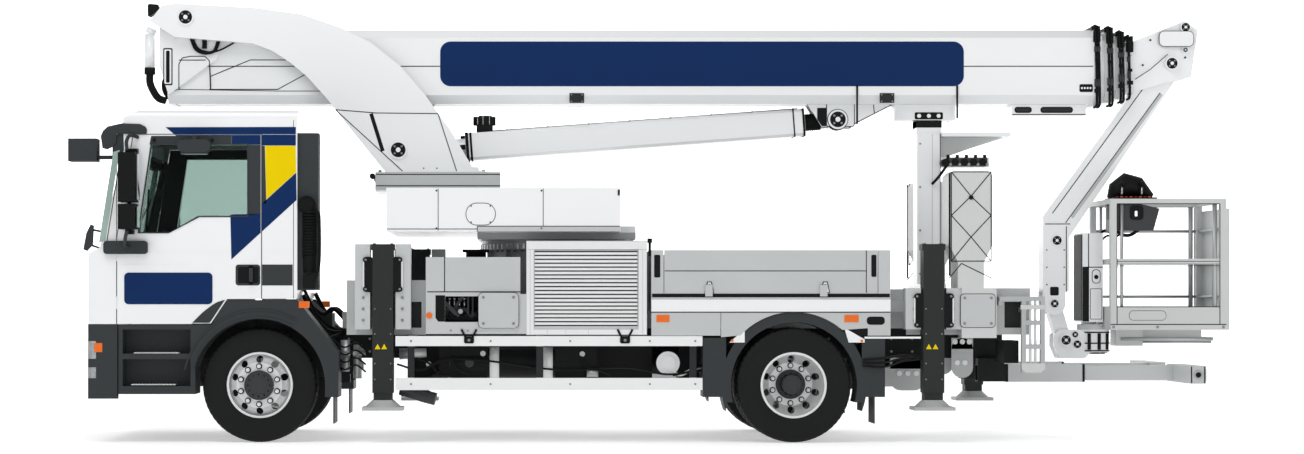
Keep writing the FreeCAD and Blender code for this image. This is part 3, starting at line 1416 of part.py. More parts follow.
def make_wings():
    """Rear wings: an arch over each twin wheel with a box before and behind it."""
    y = (-half_width + at.skirt_thickness + at.slide_gap, at.wing_width - half_width)
    outer = rod("wing_outer", "y", (rear_axle_x, y[0], axle_z), y[1] - y[0], 2 * at.wing_outer_radius)
    inner = rod("wing_inner", "y", (rear_axle_x, y[0] - at.overrun, axle_z), y[1] - y[0] + 2 * at.overrun,
                2 * at.wing_inner_radius)
    inset = at.wing_outer_radius - at.wing_inner_radius
    reach = at.wing_inner_radius + inset / 2
    below = block("wing_below", (rear_axle_x - reach, rear_axle_x + reach),
                  (y[0] - at.overrun, y[1] + at.overrun),
                  (-at.wing_outer_radius, axle_z - at.rim_diameter / 4))
    boxes = []
    for name, way in (("front", -1), ("rear", 1)):
        near = rear_axle_x + way * reach
        far = near + way * at.wing_box_length
        x = (far, near) if way < 0 else (near, far)
        boxes.append(block("wing_box_" + name, x, y, (at.wing_box_bottom_z, at.wing_box_top_z)))
    tail = rear_axle_x + reach + at.wing_box_length / 2
    flap = block("rear_flap", (tail, tail + at.flap_thickness), y,
                 (at.wing_box_bottom_z - at.flap_height, at.wing_box_bottom_z))
    ring = cut("wing_ring", outer, inner, below)
    arch = fuse("wing_arch", ring, *boxes)
    wing_top = axle_z + at.wing_outer_radius
    stay = block("wing_stay", (rear_axle_x - at.bed_cross, rear_axle_x + at.bed_cross), y,
                 (wing_top - at.flap_thickness, at.bed_beam_bottom_z))
    node("rear_fenders", both("rear_fenders_all", fuse("wing", arch, flap, stay)))


GUARD_POST_SHARES = (0.05, 0.47, 0.97)


def guard(name, front):
    """Two aluminium guard rails on posts, carried by brackets from the chassis rail."""
    y = (-half_width, at.guard_thickness - half_width)
    parts = []
    for label, low, height in (("upper", at.guard_upper_z, at.guard_upper_height),
                               ("lower", at.guard_lower_z, at.guard_lower_height)):
        parts.append(block(f"{name}_{label}", (front, at.guard_rear_x), y, (low, low + height)))
    span = at.guard_rear_x - front
    for number, share_of_span in enumerate(GUARD_POST_SHARES):
        middle = front + share_of_span * span
        x = (middle - at.guard_post / 2, middle + at.guard_post / 2)
        parts.append(block(f"{name}_post_{number}", x, (y[1], y[1] + at.guard_thickness),
                           (at.guard_lower_z, at.guard_upper_z + at.guard_upper_height)))
        parts.append(block(f"{name}_bracket_{number}", x, (y[1] + at.guard_thickness, -frame_side),
                           (at.guard_upper_z + at.guard_upper_height / 3,
                            at.guard_upper_z + at.guard_upper_height)))
    return fuse(name, *parts)


def make_side_rails():
    """A guard between the front leg and the rear wing on each side."""
    reach = at.leg_size / 2 + at.leg_cap_margin
    right = guard("guard_right", at.front_far_leg_x + reach)
    node("side_rails", together("side_rails_all", guard("guard_left", at.front_near_leg_x + reach),
                                across("guard_right_side", right)))


def make_tanks():
    """Silencer and air filter on the left, fuel tank on the right, all on rail brackets."""
    silencer = rod("silencer", "x", (at.silencer_front_x, -at.silencer_y, at.silencer_z),
                   at.silencer_length,
                   at.silencer_diameter)
    brackets = []
    top = at.silencer_z + at.silencer_diameter / 4
    for number, share_of_length in enumerate((0.2, 0.8)):
        start = at.silencer_front_x + share_of_length * at.silencer_length
        brackets.append(block(f"silencer_bracket_{number}", (start, start + at.bracket_thickness),
                              (-at.silencer_y, -frame_side), (top, top + at.bracket_thickness)))
    silencer_set = fuse("silencer_set", silencer, *brackets)
    filter_y = -at.silencer_y - at.filter_length / 2
    can = rod("filter_can", "y", (at.filter_x, filter_y, at.silencer_z), at.filter_length,
              at.filter_diameter)
    arm = block("filter_arm", (at.filter_x - at.bracket_thickness, at.filter_x + at.bracket_thickness),
                (filter_y + at.filter_length, -frame_side), (top, top + at.bracket_thickness))
    filter_set = fuse("filter_set", can, arm)
    outer_y = half_width - 2 * at.guard_thickness - at.panel_gap
    low = at.fuel_bottom_z
    tank = prism("fuel_tank_body", "yz", [(outer_y - at.fuel_depth, low), (outer_y - at.fuel_edge, low),
                                           (outer_y, low + at.fuel_edge),
                                          (outer_y, low + at.fuel_height - at.fuel_edge),
                                           (outer_y - at.fuel_edge, low + at.fuel_height),
                                           (outer_y - at.fuel_depth, low + at.fuel_height)],
                 at.fuel_front_x, at.fuel_front_x + at.fuel_length)
    hang = block("tank_bracket", (at.fuel_front_x + at.fuel_edge,
                                  at.fuel_front_x + at.fuel_length - at.fuel_edge),
                 (frame_side, outer_y - at.fuel_depth), (rail_bottom, low + at.fuel_height))
    node("tanks", together("tanks_all", silencer_set, filter_set, fuse("fuel_set", tank, hang)))


def make_boom_rest():
    """The post that the boom lies on, its shelf, and the two tall tool cabinets."""
    x = (at.rest_front_x, at.rest_front_x + at.rest_length)
    half = at.rest_width / 2
    foot_low = subframe_top
    post = block("rest_post", x, (-half, half), (foot_low + beam_box_height, at.rest_top_z))
    beam = block("rest_foot", x, (-frame_side, frame_side),
                 (at.rail_top_z + beam_box_height, foot_low + beam_box_height))
    cap = block("rest_cap", (x[0] - at.rest_gap, x[1] + at.panel_gap),
                (-half - at.rest_gap, half + at.rest_gap),
                (at.rest_top_z, at.rest_top_z + at.rest_cap))
    pad_top = rest_pad_top()
    pad = block("rest_pad", (x[0] - at.rest_gap, x[1] + at.rest_gap), (-half, half),
                (at.rest_top_z + at.rest_cap, pad_top))
    shelf = block("rest_shelf", (x[1], at.shelf_rear_x), (-at.shelf_width / 2, at.shelf_width / 2),
                  (at.rest_top_z - at.shelf_height, at.rest_top_z))
    brace = slanted("rest_brace", (x[1] - at.brace_size, at.rest_top_z - at.rest_length),
                    (at.shelf_rear_x - at.brace_size,
                     at.rest_top_z - at.shelf_height + at.brace_size / 4), ZERO,
                    at.brace_size)
    valve = block("rest_valve", (x[1], x[1] + at.valve_length), (-at.valve_width / 2, at.valve_width / 2),
                  (at.tool_top_z + at.valve_height, at.tool_top_z + 2 * at.valve_height))
    node("boom_rest", fuse("boom_rest_all", post, beam, cap, pad, shelf, brace, valve))
    side = (-half_width, at.tool_depth - half_width)
    neck = at.tool_neck
    cabinet = prism("tool_cabinet", "xz",
                    [(at.tool_front_x, at.tool_bottom_z + 2 * neck),
                     (at.tool_front_x + neck / 2, at.tool_bottom_z + neck),
                     (at.tool_front_x + neck / 2, at.rear_box_top_z),
                     (at.tool_rear_x - neck / 2, at.rear_box_top_z),
                     (at.tool_rear_x - neck / 2, at.tool_bottom_z + neck),
                     (at.tool_rear_x, at.tool_bottom_z + 2 * neck),
                     (at.tool_rear_x, at.tool_top_z - neck / 4),
                     (at.tool_rear_x - neck / 4, at.tool_top_z),
                     (at.tool_front_x + neck / 4, at.tool_top_z),
                     (at.tool_front_x, at.tool_top_z - neck / 4)], *side)
    return both("tool_cabinets", cabinet)


def rest_pad_top():
    """Top of the saddle pad, just under the boom's rest bracket."""
    return at.rest_top_z + at.rest_cap + at.rest_pad


def make_rear_end(tool_cabinets):
    """Rear housings, the shelf frame behind them, the ladders and the hand rails."""
    depth = at.rear_box_depth
    y = (-plate_y - depth + at.panel_gap, -plate_y)
    guide_edge = at.rear_near_leg_x + at.leg_size / 2 + at.leg_cap_margin + at.guide_width
    left = block("rear_box", (guide_edge, at.rear_box_rear_x), y,
                 (at.rear_box_bottom_z, at.rear_box_top_z))
    right_edge = at.rear_far_leg_x - at.leg_size / 2 - at.leg_cap_margin - at.guide_width
    right = block("rear_box_far", (at.tool_front_x, right_edge),
                  (plate_y, plate_y + depth - at.panel_gap),
                  (at.rear_box_bottom_z, at.rear_box_top_z))
    node("rear_cabinets", fuse("rear_cabinets_all", left, right, tool_cabinets))
    bar = at.ladder_bar
    y = (-at.ladder_side_y, bar - at.ladder_side_y)
    pieces = []
    for name, start in (("front", at.ladder_front_x), ("rear", at.ladder_rear_x - bar)):
        pieces.append(block("ladder_stile_" + name, (start, start + bar), y,
                            (at.ladder_bottom_z, at.ladder_top_z)))
    count = round(at.ladder_rung_count.value)
    for number in range(count):
        low = at.ladder_bottom_z + number * (at.ladder_top_z - at.ladder_bottom_z) / count
        pieces.append(block(f"ladder_rung_{number}", (at.ladder_front_x, at.ladder_rear_x), y,
                            (low, low + bar)))
    pieces.append(block("hand_rail", (at.handrail_front_x, at.ladder_rear_x), y,
                        (at.ladder_top_z, at.ladder_top_z + bar)))
    plate_top = (at.end_plate_top_z + at.end_plate_bottom_z) / 2
    for name, start in (("front", at.handrail_front_x), ("rear", at.ladder_front_x)):
        pieces.append(block("ladder_carrier_" + name, (start, start + bar), (y[1], -plate_y),
                            (at.ladder_top_z - bar,
                             at.ladder_top_z + bar) if name == "front" else (plate_top - bar, plate_top)))
    node("tail_steps", fuse("ladder", *pieces))


# Turntable and boom
def make_turntable():
    """Plate on the slew ring, the long housing over it, and the flange for the gooseneck."""
    ring_top = at.pedestal_top_z + at.ring_height
    collar = rod("turn_collar", "z", (at.slew_x, ZERO, ring_top + at.slide_gap),
                 at.turntable_plate_z - ring_top, at.ring_diameter)
    plate_start = at.slew_x - at.turntable_plate_length / 2
    plate = block("turn_plate", (plate_start, plate_start + at.turntable_plate_length),
                  (-at.turntable_plate_width / 2, at.turntable_plate_width / 2),
                  (at.turntable_plate_z, at.turntable_plate_z + at.turntable_plate_height))
    half = at.turntable_side / 2
    housing = block("turn_housing", (at.turntable_front_x, at.turntable_rear_x), (-half, half),
                    (at.turntable_bottom_z, at.turntable_top_z))
    deck = block("neck_seat", (at.neck_flange_front_x, at.neck_flange_rear_x),
                 (-at.arm_outer_y, at.arm_outer_y),
                 (at.turntable_top_z, at.neck_flange_bottom_z))
    node("turntable", fuse("turntable_all", collar, plate, housing, deck))


# Side view of a gooseneck arm from its front tip over the top and back under, as (x, z) places
# that follow the boom pin: shares of the distance from the pin to the flange's rear edge.
NECK_TOP_SHARES = ((-0.075, 0.068), (-0.030, 0.079), (0.225, 0.053), (0.367, 0.017), (0.491, -0.060),
                   (0.586, -0.143), (0.682, -0.282), (0.761, -0.450), (0.841, -0.653), (0.917, -0.885))
NECK_LOW_SHARES = ((0.634, -0.896), (0.491, -0.572), (0.453, -0.479), (0.384, -0.340), (0.332, -0.262),
                   (0.271, -0.190), (0.214, -0.152), (-0.036, -0.114), (-0.115, -0.022))


def neck_point(shares):
    span_x = at.neck_flange_rear_x - at.boom_pin_x
    span_z = at.boom_pin_z - at.neck_flange_bottom_z
    return at.boom_pin_x + shares[0] * span_x, at.boom_pin_z + shares[1] * span_z


def make_gooseneck():
    """Two curved arms on a flange, tied behind the boom's foot, with the pins' bores."""
    flange_top = at.neck_flange_bottom_z + at.neck_flange_height
    outline = [neck_point(shares) for shares in NECK_TOP_SHARES]
    outline += [(at.neck_flange_rear_x - at.arm_thickness, flange_top),
                (at.lift_foot_x - at.arm_thickness, flange_top)]
    outline += [neck_point(shares) for shares in NECK_LOW_SHARES]
    side = (-at.arm_outer_y, at.arm_thickness - at.arm_outer_y)
    arm = prism("neck_arm", "xz", outline, *side)
    flange = block("neck_flange", (at.neck_flange_front_x, at.neck_flange_rear_x),
                   (-at.arm_outer_y, at.arm_outer_y),
                   (at.neck_flange_bottom_z, flange_top))
    inner = at.arm_outer_y - at.arm_thickness
    tie = block("neck_tie", (at.neck_flange_rear_x - 3 * at.arm_thickness,
                             at.neck_flange_rear_x - 2 * at.arm_thickness),
                (-inner, inner), (flange_top, flange_top + at.arm_thickness / 2))
    holes = []
    for name, x, z, size in (("boom", at.boom_pin_x, at.boom_pin_z, at.boom_pin_diameter),
                             ("lift", at.lift_foot_x, at.lift_foot_z, at.lift_pin_diameter)):
        holes.append(rod(name + "_pin_hole", "y", (x, -at.arm_outer_y - at.overrun, z),
                         2 * (at.arm_outer_y + at.overrun), size + 2 * at.fit_gap))
    solid = fuse("neck_solid", arm, across("neck_arm_right", arm), flange, tie)
    node("gooseneck", cut("gooseneck_all", solid, *holes))


def bevelled(width, height, bevel, middle):
    """Cross-section of a boom section: a box with its four corners cut."""
    half, rise = width / 2, height / 2
    return [(bevel - half, middle - rise), (half - bevel, middle - rise), (half, middle - rise + bevel),
            (half, middle + rise - bevel), (half - bevel, middle + rise), (bevel - half, middle + rise),
            (-half, middle + rise - bevel), (-half, middle - rise + bevel)]


boom_mid_z = at.boom_bottom_z + at.boom_height / 2


def section(number):
    """Outer width, height, bevel, and the two ends of boom section number 0 to 3."""
    width = at.boom_width - number * at.section_step
    height = at.boom_height - number * at.section_step
    bevel = at.boom_bevel - number * at.section_step / 8
    front = at.boom_front_x + at.section_step + number * at.section_rear_gap
    rear = at.boom_rear_x + number * at.section_lead
    return width, height, bevel, front, rear


def hollow_section(name, number):
    """A tube of one boom section with a collar round its mouth."""
    width, height, bevel, front, rear = section(number)
    wall = at.boom_wall
    outer = prism(name + "_skin", "yz", bevelled(width, height, bevel, boom_mid_z), front, rear)
    collar = prism(name + "_collar", "yz",
                   bevelled(width + 2 * at.collar_rise, height + 2 * at.collar_rise,
                            bevel + at.collar_rise / 2,
                            boom_mid_z), rear - at.collar_length, rear)
    bore = prism(name + "_bore", "yz",
                 bevelled(width - 2 * wall, height - 2 * wall, bevel - wall / 2, boom_mid_z),
                 front - at.overrun if number else front + wall, rear + at.overrun)
    return cut(name + "_tube", fuse(name + "_solid", outer, collar), bore)


def slide_pads(name, number, at_front):
    """Four wear pads between two sections, on the outer one's mouth or the inner one's end."""
    width, height, bevel, front, rear = section(number)
    inner_width, inner_height, _, inner_front, _ = section(number + 1)
    wall = at.boom_wall
    length = at.collar_length
    pads = []
    x = (inner_front, inner_front + length) if at_front else (rear - length, rear)
    gap = at.slide_gap
    side_low, side_high = inner_width / 2, width / 2 - wall
    rise_low, rise_high = inner_height / 2, height / 2 - wall
    pad_half = at.section_step
    edge = (ZERO, gap) if at_front else (gap, ZERO)
    for label, y, z in (
            ("left", (-side_high + edge[1], -side_low - edge[0]), (-pad_half, pad_half)),
            ("right", (side_low + edge[0], side_high - edge[1]), (-pad_half, pad_half)),
            ("top", (-pad_half, pad_half), (rise_low + edge[0], rise_high - edge[1])),
            ("bottom", (-pad_half, pad_half), (-rise_high + edge[1], -rise_low - edge[0]))):
        pads.append(block(f"{name}_pad_{label}", x, y, (boom_mid_z + z[0], boom_mid_z + z[1])))
    return pads


def make_boom_base():
    """The first section with its root lug and pin, the cylinder's cheeks and the rest bracket."""
    tube = hollow_section("boom_base", 0)
    half = at.boom_width / 2
    head_low = at.boom_pin_z - at.boom_pin_diameter
    boom_top = at.boom_bottom_z + at.boom_height
    root = prism("boom_root", "xz",
                 [(at.boom_front_x, boom_top - at.boom_height / 2),
                  (at.boom_front_x, boom_top + at.boom_pin_diameter),
                  (at.boom_pin_x + at.boom_pin_diameter / 2, boom_top + at.boom_pin_diameter * 5 / 4),
                  (at.boom_pin_x + 2 * at.boom_pin_diameter, boom_top - at.boom_bevel / 2),
                  (at.boom_pin_x + 2 * at.boom_pin_diameter, head_low - at.boom_height / 3),
                  (at.boom_front_x + at.section_step + at.boom_wall, at.boom_bottom_z + at.boom_bevel)],
                 -half - at.root_lug_thickness, -half)
    pin = rod("boom_pin", "y", (at.boom_pin_x, -at.arm_outer_y, at.boom_pin_z), 2 * at.arm_outer_y,
              at.boom_pin_diameter)
    cheek_low = at.lift_eye_z - at.lift_eye_diameter / 4
    outer_y = at.cylinder_eye_width / 2 + at.panel_gap + at.bracket_cheek
    weld_z = at.boom_bottom_z - at.slide_gap
    cheek = prism("lift_cheek", "xz",
                  [(at.bracket_front_x - at.lift_eye_diameter / 2, weld_z),
                   (at.bracket_front_x, cheek_low),
                   (at.lift_eye_x + at.lift_eye_diameter / 2, cheek_low),
                   (at.rest_bracket_front_x - at.panel_gap, weld_z)],
                  -outer_y, -outer_y + at.bracket_cheek)
    bracket_low = rest_pad_top() + at.rest_gap
    bracket = block("rest_bracket", (at.rest_bracket_front_x, at.rest_bracket_rear_x),
                    (-at.rest_width / 2, at.rest_width / 2), (bracket_low, weld_z))
    skid = block("boom_skid", (at.skid_front_x, at.skid_rear_x), (-at.rest_width / 2, at.rest_width / 2),
                 (at.boom_bottom_z - at.skid_drop, weld_z))
    pads = slide_pads("base_mouth", 0, at_front=False)
    tube_set = fuse("boom_tube_set", tube, root, across("boom_root_right", root), pin, *pads)
    node("boom_base", together("boom_base_all", tube_set, cheek, across("lift_cheek_right", cheek),
                               bracket, skid))


def make_telescopes():
    """Three inner sections; the last one carries the head with the jib's lugs."""
    for number in (1, 2):
        name = f"boom_section_{number}"
        tube = hollow_section(name, number)
        pads = slide_pads(name + "_mouth", number, at_front=False)
        heels = slide_pads(name + "_heel", number - 1, at_front=True)
        node(name, fuse(name + "_all", tube, *pads, *heels))
    width, height, bevel, front, rear = section(3)
    skin = prism("boom_section_3_skin", "yz", bevelled(width, height, bevel, boom_mid_z), front,
                 at.head_front_x + at.boom_wall)
    wall = at.boom_wall
    bore = prism("boom_section_3_bore", "yz",
                 bevelled(width - 2 * wall, height - 2 * wall, bevel - wall / 2, boom_mid_z),
                 front - at.overrun, at.head_front_x - at.boom_wall)
    plate_inner = at.jib_width / 2 + at.panel_gap
    head_top = at.boom_bottom_z + at.boom_height + at.jib_pin_diameter
    reach = at.jib_pin_x + at.jib_size
    plate = prism("head_plate", "xz",
                  [(at.head_front_x, boom_mid_z - height / 2), (at.head_front_x, boom_mid_z + height / 2),
                   (reach - at.jib_size / 2, head_top), (reach, head_top - at.jib_size / 3),
                   (reach - at.jib_size / 4, at.jib_pin_z - at.jib_size / 2),
                   (at.jib_pin_x, at.jib_pin_z - at.jib_size * 2 / 3)],
                  -plate_inner - at.head_plate, -plate_inner)
    end = block("head_end", (at.head_front_x, at.head_front_x + wall),
                (-plate_inner - at.head_plate, plate_inner + at.head_plate),
                (boom_mid_z - height / 2, boom_mid_z + height / 2))
    pin = rod("jib_pin", "y", (at.jib_pin_x, -plate_inner - 2 * at.head_plate, at.jib_pin_z),
              2 * (plate_inner + 2 * at.head_plate), at.jib_pin_diameter)
    heels = slide_pads("boom_section_3_heel", 2, at_front=True)
    tube = cut("boom_section_3_tube", skin, bore)
    node("boom_section_3", fuse("boom_section_3_all", tube, plate, across("head_plate_right", plate), end,
                                pin, *heels))


def make_lift_cylinder():
    """Barrel and rod of the boom's lift cylinder, along the line from its foot to its eye."""
    run = at.lift_eye_x - at.lift_foot_x
    rise = at.lift_eye_z - at.lift_foot_z
    length = root_of(run * run + rise * rise)
    angle = Size(-math.degrees(math.atan2(rise.value, run.value)), f"-atan2({rise.text}; {run.text})")
    cover = prism("barrel_cover", "yz", bevelled(at.barrel_size, at.barrel_size, at.barrel_size / 10,
                                                 ZERO),
                  at.barrel_start, at.barrel_end)
    shank = rod("barrel_shank", "x", (ZERO, ZERO, ZERO), at.barrel_start + at.overrun, at.barrel_bore)
    eye = rod("barrel_eye", "y", (ZERO, -at.cylinder_eye_width / 2, ZERO), at.cylinder_eye_width,
              at.cylinder_eye_diameter)
    pin = rod("barrel_pin", "y", (ZERO, -at.arm_outer_y, ZERO), 2 * at.arm_outer_y, at.lift_pin_diameter)
    bore = rod("barrel_bore_hole", "x", (at.barrel_start, ZERO, ZERO),
               at.barrel_end + at.overrun - at.barrel_start,
               at.rod_diameter + 2 * at.slide_gap)
    barrel = cut("barrel_shape", fuse("barrel_solid", cover, shank, eye, pin), bore)
    stick = rod("rod_stick", "x", (at.barrel_start + at.overrun, ZERO, ZERO),
                length - at.barrel_start - at.overrun,
                at.rod_diameter)
    rod_eye = rod("rod_eye", "y", (length, -at.cylinder_eye_width / 2, ZERO), at.cylinder_eye_width,
                  at.cylinder_eye_diameter * 7 / 8)
    for label, shape in (("lift_barrel", barrel), ("lift_rod", fuse("rod_shape", stick, rod_eye))):
        thing = doc.addObject("Part::Compound", label + "_placed")
        thing.Links = [shape]
        thing.Placement = FreeCAD.Placement(FreeCAD.Vector(),
                                            FreeCAD.Rotation(FreeCAD.Vector(0, 1, 0), 1))
        bind(thing, Placement__Rotation__Angle=angle)
        place(thing, at.lift_foot_x, ZERO, at.lift_foot_z)
        node(label, thing)


def make_jib():
    """The cranked jib: a box from the boom head to its bend, then a short upright with two ears."""
    half = at.jib_size / 2
    run = at.jib_pin_x - at.jib_bend_x
    rise = at.jib_pin_z - at.jib_bend_z
    length = root_of(run * run + rise * rise)
    side_x, side_z = half * rise / length, half * run / length
    ear = at.ear_radius
    low = at.level_pin_z + ear + at.panel_gap
    left = at.jib_bend_x - half
    right = at.jib_bend_x + half - at.jib_wall
    outline = [(left, low), (left, at.jib_bend_z + side_z),
               (at.jib_pin_x - side_x, at.jib_pin_z + side_z),
               (at.jib_pin_x + side_x, at.jib_pin_z - side_z), (right, at.jib_bend_z - at.jib_size / 2),
               (right, low)]
    width = at.jib_width / 2
    arm = prism("jib_arm", "xz", outline, -width, width)
    eye = rod("jib_eye", "y", (at.jib_pin_x, -width, at.jib_pin_z), at.jib_width, at.jib_size)
    hole = rod("jib_eye_hole", "y", (at.jib_pin_x, -width - at.overrun, at.jib_pin_z),
               at.jib_width + 2 * at.overrun,
               at.jib_pin_diameter + 2 * at.fit_gap)
    ears = []
    ear_round = rod("jib_ear_round", "y", (at.level_pin_x, -width, at.level_pin_z), at.ear_thickness,
                    2 * ear)
    ear_plate = block("jib_ear_plate", (at.level_pin_x - ear, at.level_pin_x + ear),
                      (-width, at.ear_thickness - width),
                      (at.level_pin_z, low))
    ears = fuse("jib_ear", ear_round, ear_plate)
    pin = rod("level_pin", "y", (at.level_pin_x, -width, at.level_pin_z), at.jib_width,
              at.level_pin_diameter)
    solid = fuse("jib_solid", cut("jib_body", fuse("jib_rough", arm, eye), hole), ears,
                 across("jib_ear_right", ears), pin)
    node("jib", solid)


def make_level_link():
    """The short link between the jib's end and the carrier, with a bore for each pin."""
    inner = at.jib_width / 2 - at.ear_thickness - at.rest_gap
    width = at.link_width / 2
    parts = []
    for name, x, z in (("upper", at.level_pin_x, at.level_pin_z),
                       ("lower", at.carry_pin_x, at.carry_pin_z)):
        parts.append(rod("link_eye_" + name, "y", (x, -inner, z), 2 * inner, at.link_width))
    bar = prism("link_bar", "xz", [(at.level_pin_x - width, at.level_pin_z),
                                   (at.carry_pin_x - width, at.carry_pin_z),
                                   (at.carry_pin_x + width, at.carry_pin_z),
                                   (at.level_pin_x + width, at.level_pin_z)],
                -inner, inner)
    holes = [rod("link_hole_upper", "y", (at.level_pin_x, -at.jib_width, at.level_pin_z),
                 2 * at.jib_width,
                 at.level_pin_diameter + 2 * at.fit_gap),
             rod("link_hole_lower", "y", (at.carry_pin_x, -at.jib_width, at.carry_pin_z),
                 2 * at.jib_width,
                 at.level_pin_diameter + 2 * at.fit_gap)]
    node("level_link", cut("level_link_all", fuse("link_solid", bar, *parts), *holes))


def make_carrier():
    """Two cheeks on the lower pin, a web, and the drum that the basket turns on."""
    width = at.jib_width / 2
    side = (-width, at.ear_thickness - width)
    ear = at.ear_radius
    web_start = at.carry_pin_x + at.link_width / 2 + at.panel_gap
    drum_start = at.turn_x - at.turn_drum_diameter / 2
    cheek = prism("carrier_cheek", "xz",
                  [(at.carry_pin_x - ear, at.carry_pin_z - ear / 2),
                   (at.carry_pin_x - ear / 2, at.carrier_bottom_z),
                   (web_start + ear, at.carrier_bottom_z), (drum_start + ear, at.turn_drum_bottom_z),
                   (drum_start + ear, at.turn_drum_top_z - ear / 2),
                   (web_start + ear / 2, at.turn_drum_top_z),
                   (at.carry_pin_x - ear / 2, at.turn_drum_top_z),
                   (at.carry_pin_x - ear, at.turn_drum_top_z - ear / 2)],
                  *side)
    web = block("carrier_web", (web_start, drum_start + ear / 2),
                (-width + at.ear_thickness, width - at.ear_thickness),
                (at.turn_drum_bottom_z, at.turn_drum_top_z - at.overrun))
    pin = rod("carry_pin", "y", (at.carry_pin_x, -width, at.carry_pin_z), at.jib_width,
              at.level_pin_diameter)
    drum = rod("turn_drum", "z", (at.turn_x, ZERO, at.turn_drum_bottom_z),
               at.turn_drum_top_z - at.turn_drum_bottom_z,
               at.turn_drum_diameter)
    node("carrier", fuse("carrier_all", cheek, across("carrier_cheek_right", cheek), web, pin, drum))


def make_basket():
    """The work basket: floor, posts, rails, toe boards, rear panel, and the support below it."""
    x = (at.basket_front_x, at.basket_front_x + at.basket_length)
    half = at.basket_depth / 2
    floor_z = (at.turn_drum_top_z + at.slide_gap,
               at.turn_drum_top_z + at.slide_gap + at.basket_floor_height)
    post = at.basket_post
    parts = [block("basket_floor", x, (-half, half), floor_z)]
    corners = {"front": x[0], "rear": x[1] - post - at.end_panel_thickness}
    for name, start in corners.items():
        for way, y in (("left", (-half, post - half)), ("right", (half - post, half))):
            parts.append(block(f"basket_post_{name}_{way}", (start, start + post), y,
                               (floor_z[1], at.basket_top_z)))
    rails = (("top", at.basket_top_z - at.basket_rail), ("mid", at.mid_rail_z))
    for name, low in rails:
        z = (low, low + at.basket_rail)
        for way, y in (("left", (-half, at.basket_rail - half)),
                       ("right", (half - at.basket_rail, half))):
            parts.append(block(f"basket_{name}_{way}", (x[0], x[1] - at.end_panel_thickness), y, z))
        for end, start in corners.items():
            parts.append(block(f"basket_{name}_{end}", (start, start + at.basket_rail), (-half, half), z))
    board = at.toe_board_thickness
    board_z = (floor_z[1], floor_z[1] + at.toe_board_height)
    for way, y in (("left", (-half, board - half)), ("right", (half - board, half))):
        parts.append(block("toe_board_" + way, x, y, board_z))
    parts.append(block("toe_board_front", (x[0], x[0] + board), (-half, half), board_z))
    parts.append(block("end_panel", (x[1] - at.end_panel_thickness, x[1]), (-half, half),
                       (floor_z[0], at.basket_top_z - 2 * at.basket_rail)))
    disc = rod("turn_disc", "z", (at.turn_x, ZERO, floor_z[0]), at.basket_floor_height,
               at.turn_drum_diameter)
    support_start = at.turn_x + at.turn_drum_diameter / 2 + at.overrun
    support = block("basket_support", (support_start, support_start + at.support_length),
                    (-at.support_length / 2, at.support_length / 2),
                    (floor_z[0] - at.support_drop, floor_z[0]))
    bar = block("basket_bar", (support_start, x[1] - at.support_drop),
                (-at.support_bar / 2, at.support_bar / 2),
                (floor_z[0] - at.support_bar, floor_z[0]))
    node("basket", fuse("basket_all", *parts, disc, support, bar))
    cabinet_half = at.basket_cabinet_width / 2
    stand = block("basket_cabinet_stand",
                  (at.basket_cabinet_front_x + at.overrun, at.basket_cabinet_rear_x - at.overrun),
                  (-at.turn_drum_diameter / 4, at.turn_drum_diameter / 4),
                  (floor_z[1], at.basket_cabinet_bottom_z))
    box = block("basket_cabinet_box", (at.basket_cabinet_front_x, at.basket_cabinet_rear_x),
                (-cabinet_half, cabinet_half),
                (at.basket_cabinet_bottom_z, at.basket_cabinet_top_z))
    cabinet = fuse("basket_cabinet", box, stand)
    console_x = (x[0] + post, x[0] + post + at.console_length)
    console = prism("console_shape", "xz",
                    [(console_x[0], at.console_bottom_z),
                     (console_x[0], at.console_bottom_z + at.console_height),
                     (console_x[1], at.basket_top_z - at.basket_rail * 2),
                     (console_x[1] - post, at.console_bottom_z)],
                    -half + at.basket_rail, -half + at.basket_rail + at.console_width)
    node("basket_controls", together("basket_controls_all", cabinet, console))


def make_all():
    make_wheels()
    make_front_axle()
    make_rear_axle()
    make_knuckles()
    make_chassis()
    make_tail_bar()
    make_drivetrain()
    make_cab_shell()
    make_doors()
    make_windscreen()
    make_bumper()
    make_cladding()
    make_trim()
    make_interior()
    make_support_frame()
    make_outriggers()
    make_side_cabinets()
    make_load_bed()
    make_drop_sides()
    make_wings()
    make_side_rails()
    make_tanks()
    make_rear_end(make_boom_rest())
    make_turntable()
    make_gooseneck()
    make_boom_base()
    make_telescopes()
    make_lift_cylinder()
    make_jib()
    make_level_link()
    make_carrier()
    make_basket()


make_all()
doc.recompute()

faults = [f"{thing.Label}: {thing.State}" for thing in doc.Objects
          if "Invalid" in thing.State or "Error" in thing.State]
for thing in nodes:
    if thing.Shape.isNull() or not thing.Shape.isValid() or not thing.Shape.Solids:
        faults.append(f"{thing.Label}: no valid solid")
if faults:
    raise RuntimeError("; ".join(faults))

os.makedirs("parts", exist_ok=True)
for thing in nodes:
    thing.Shape.exportStep(os.path.join("parts", thing.Label + ".step"))
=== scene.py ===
import math

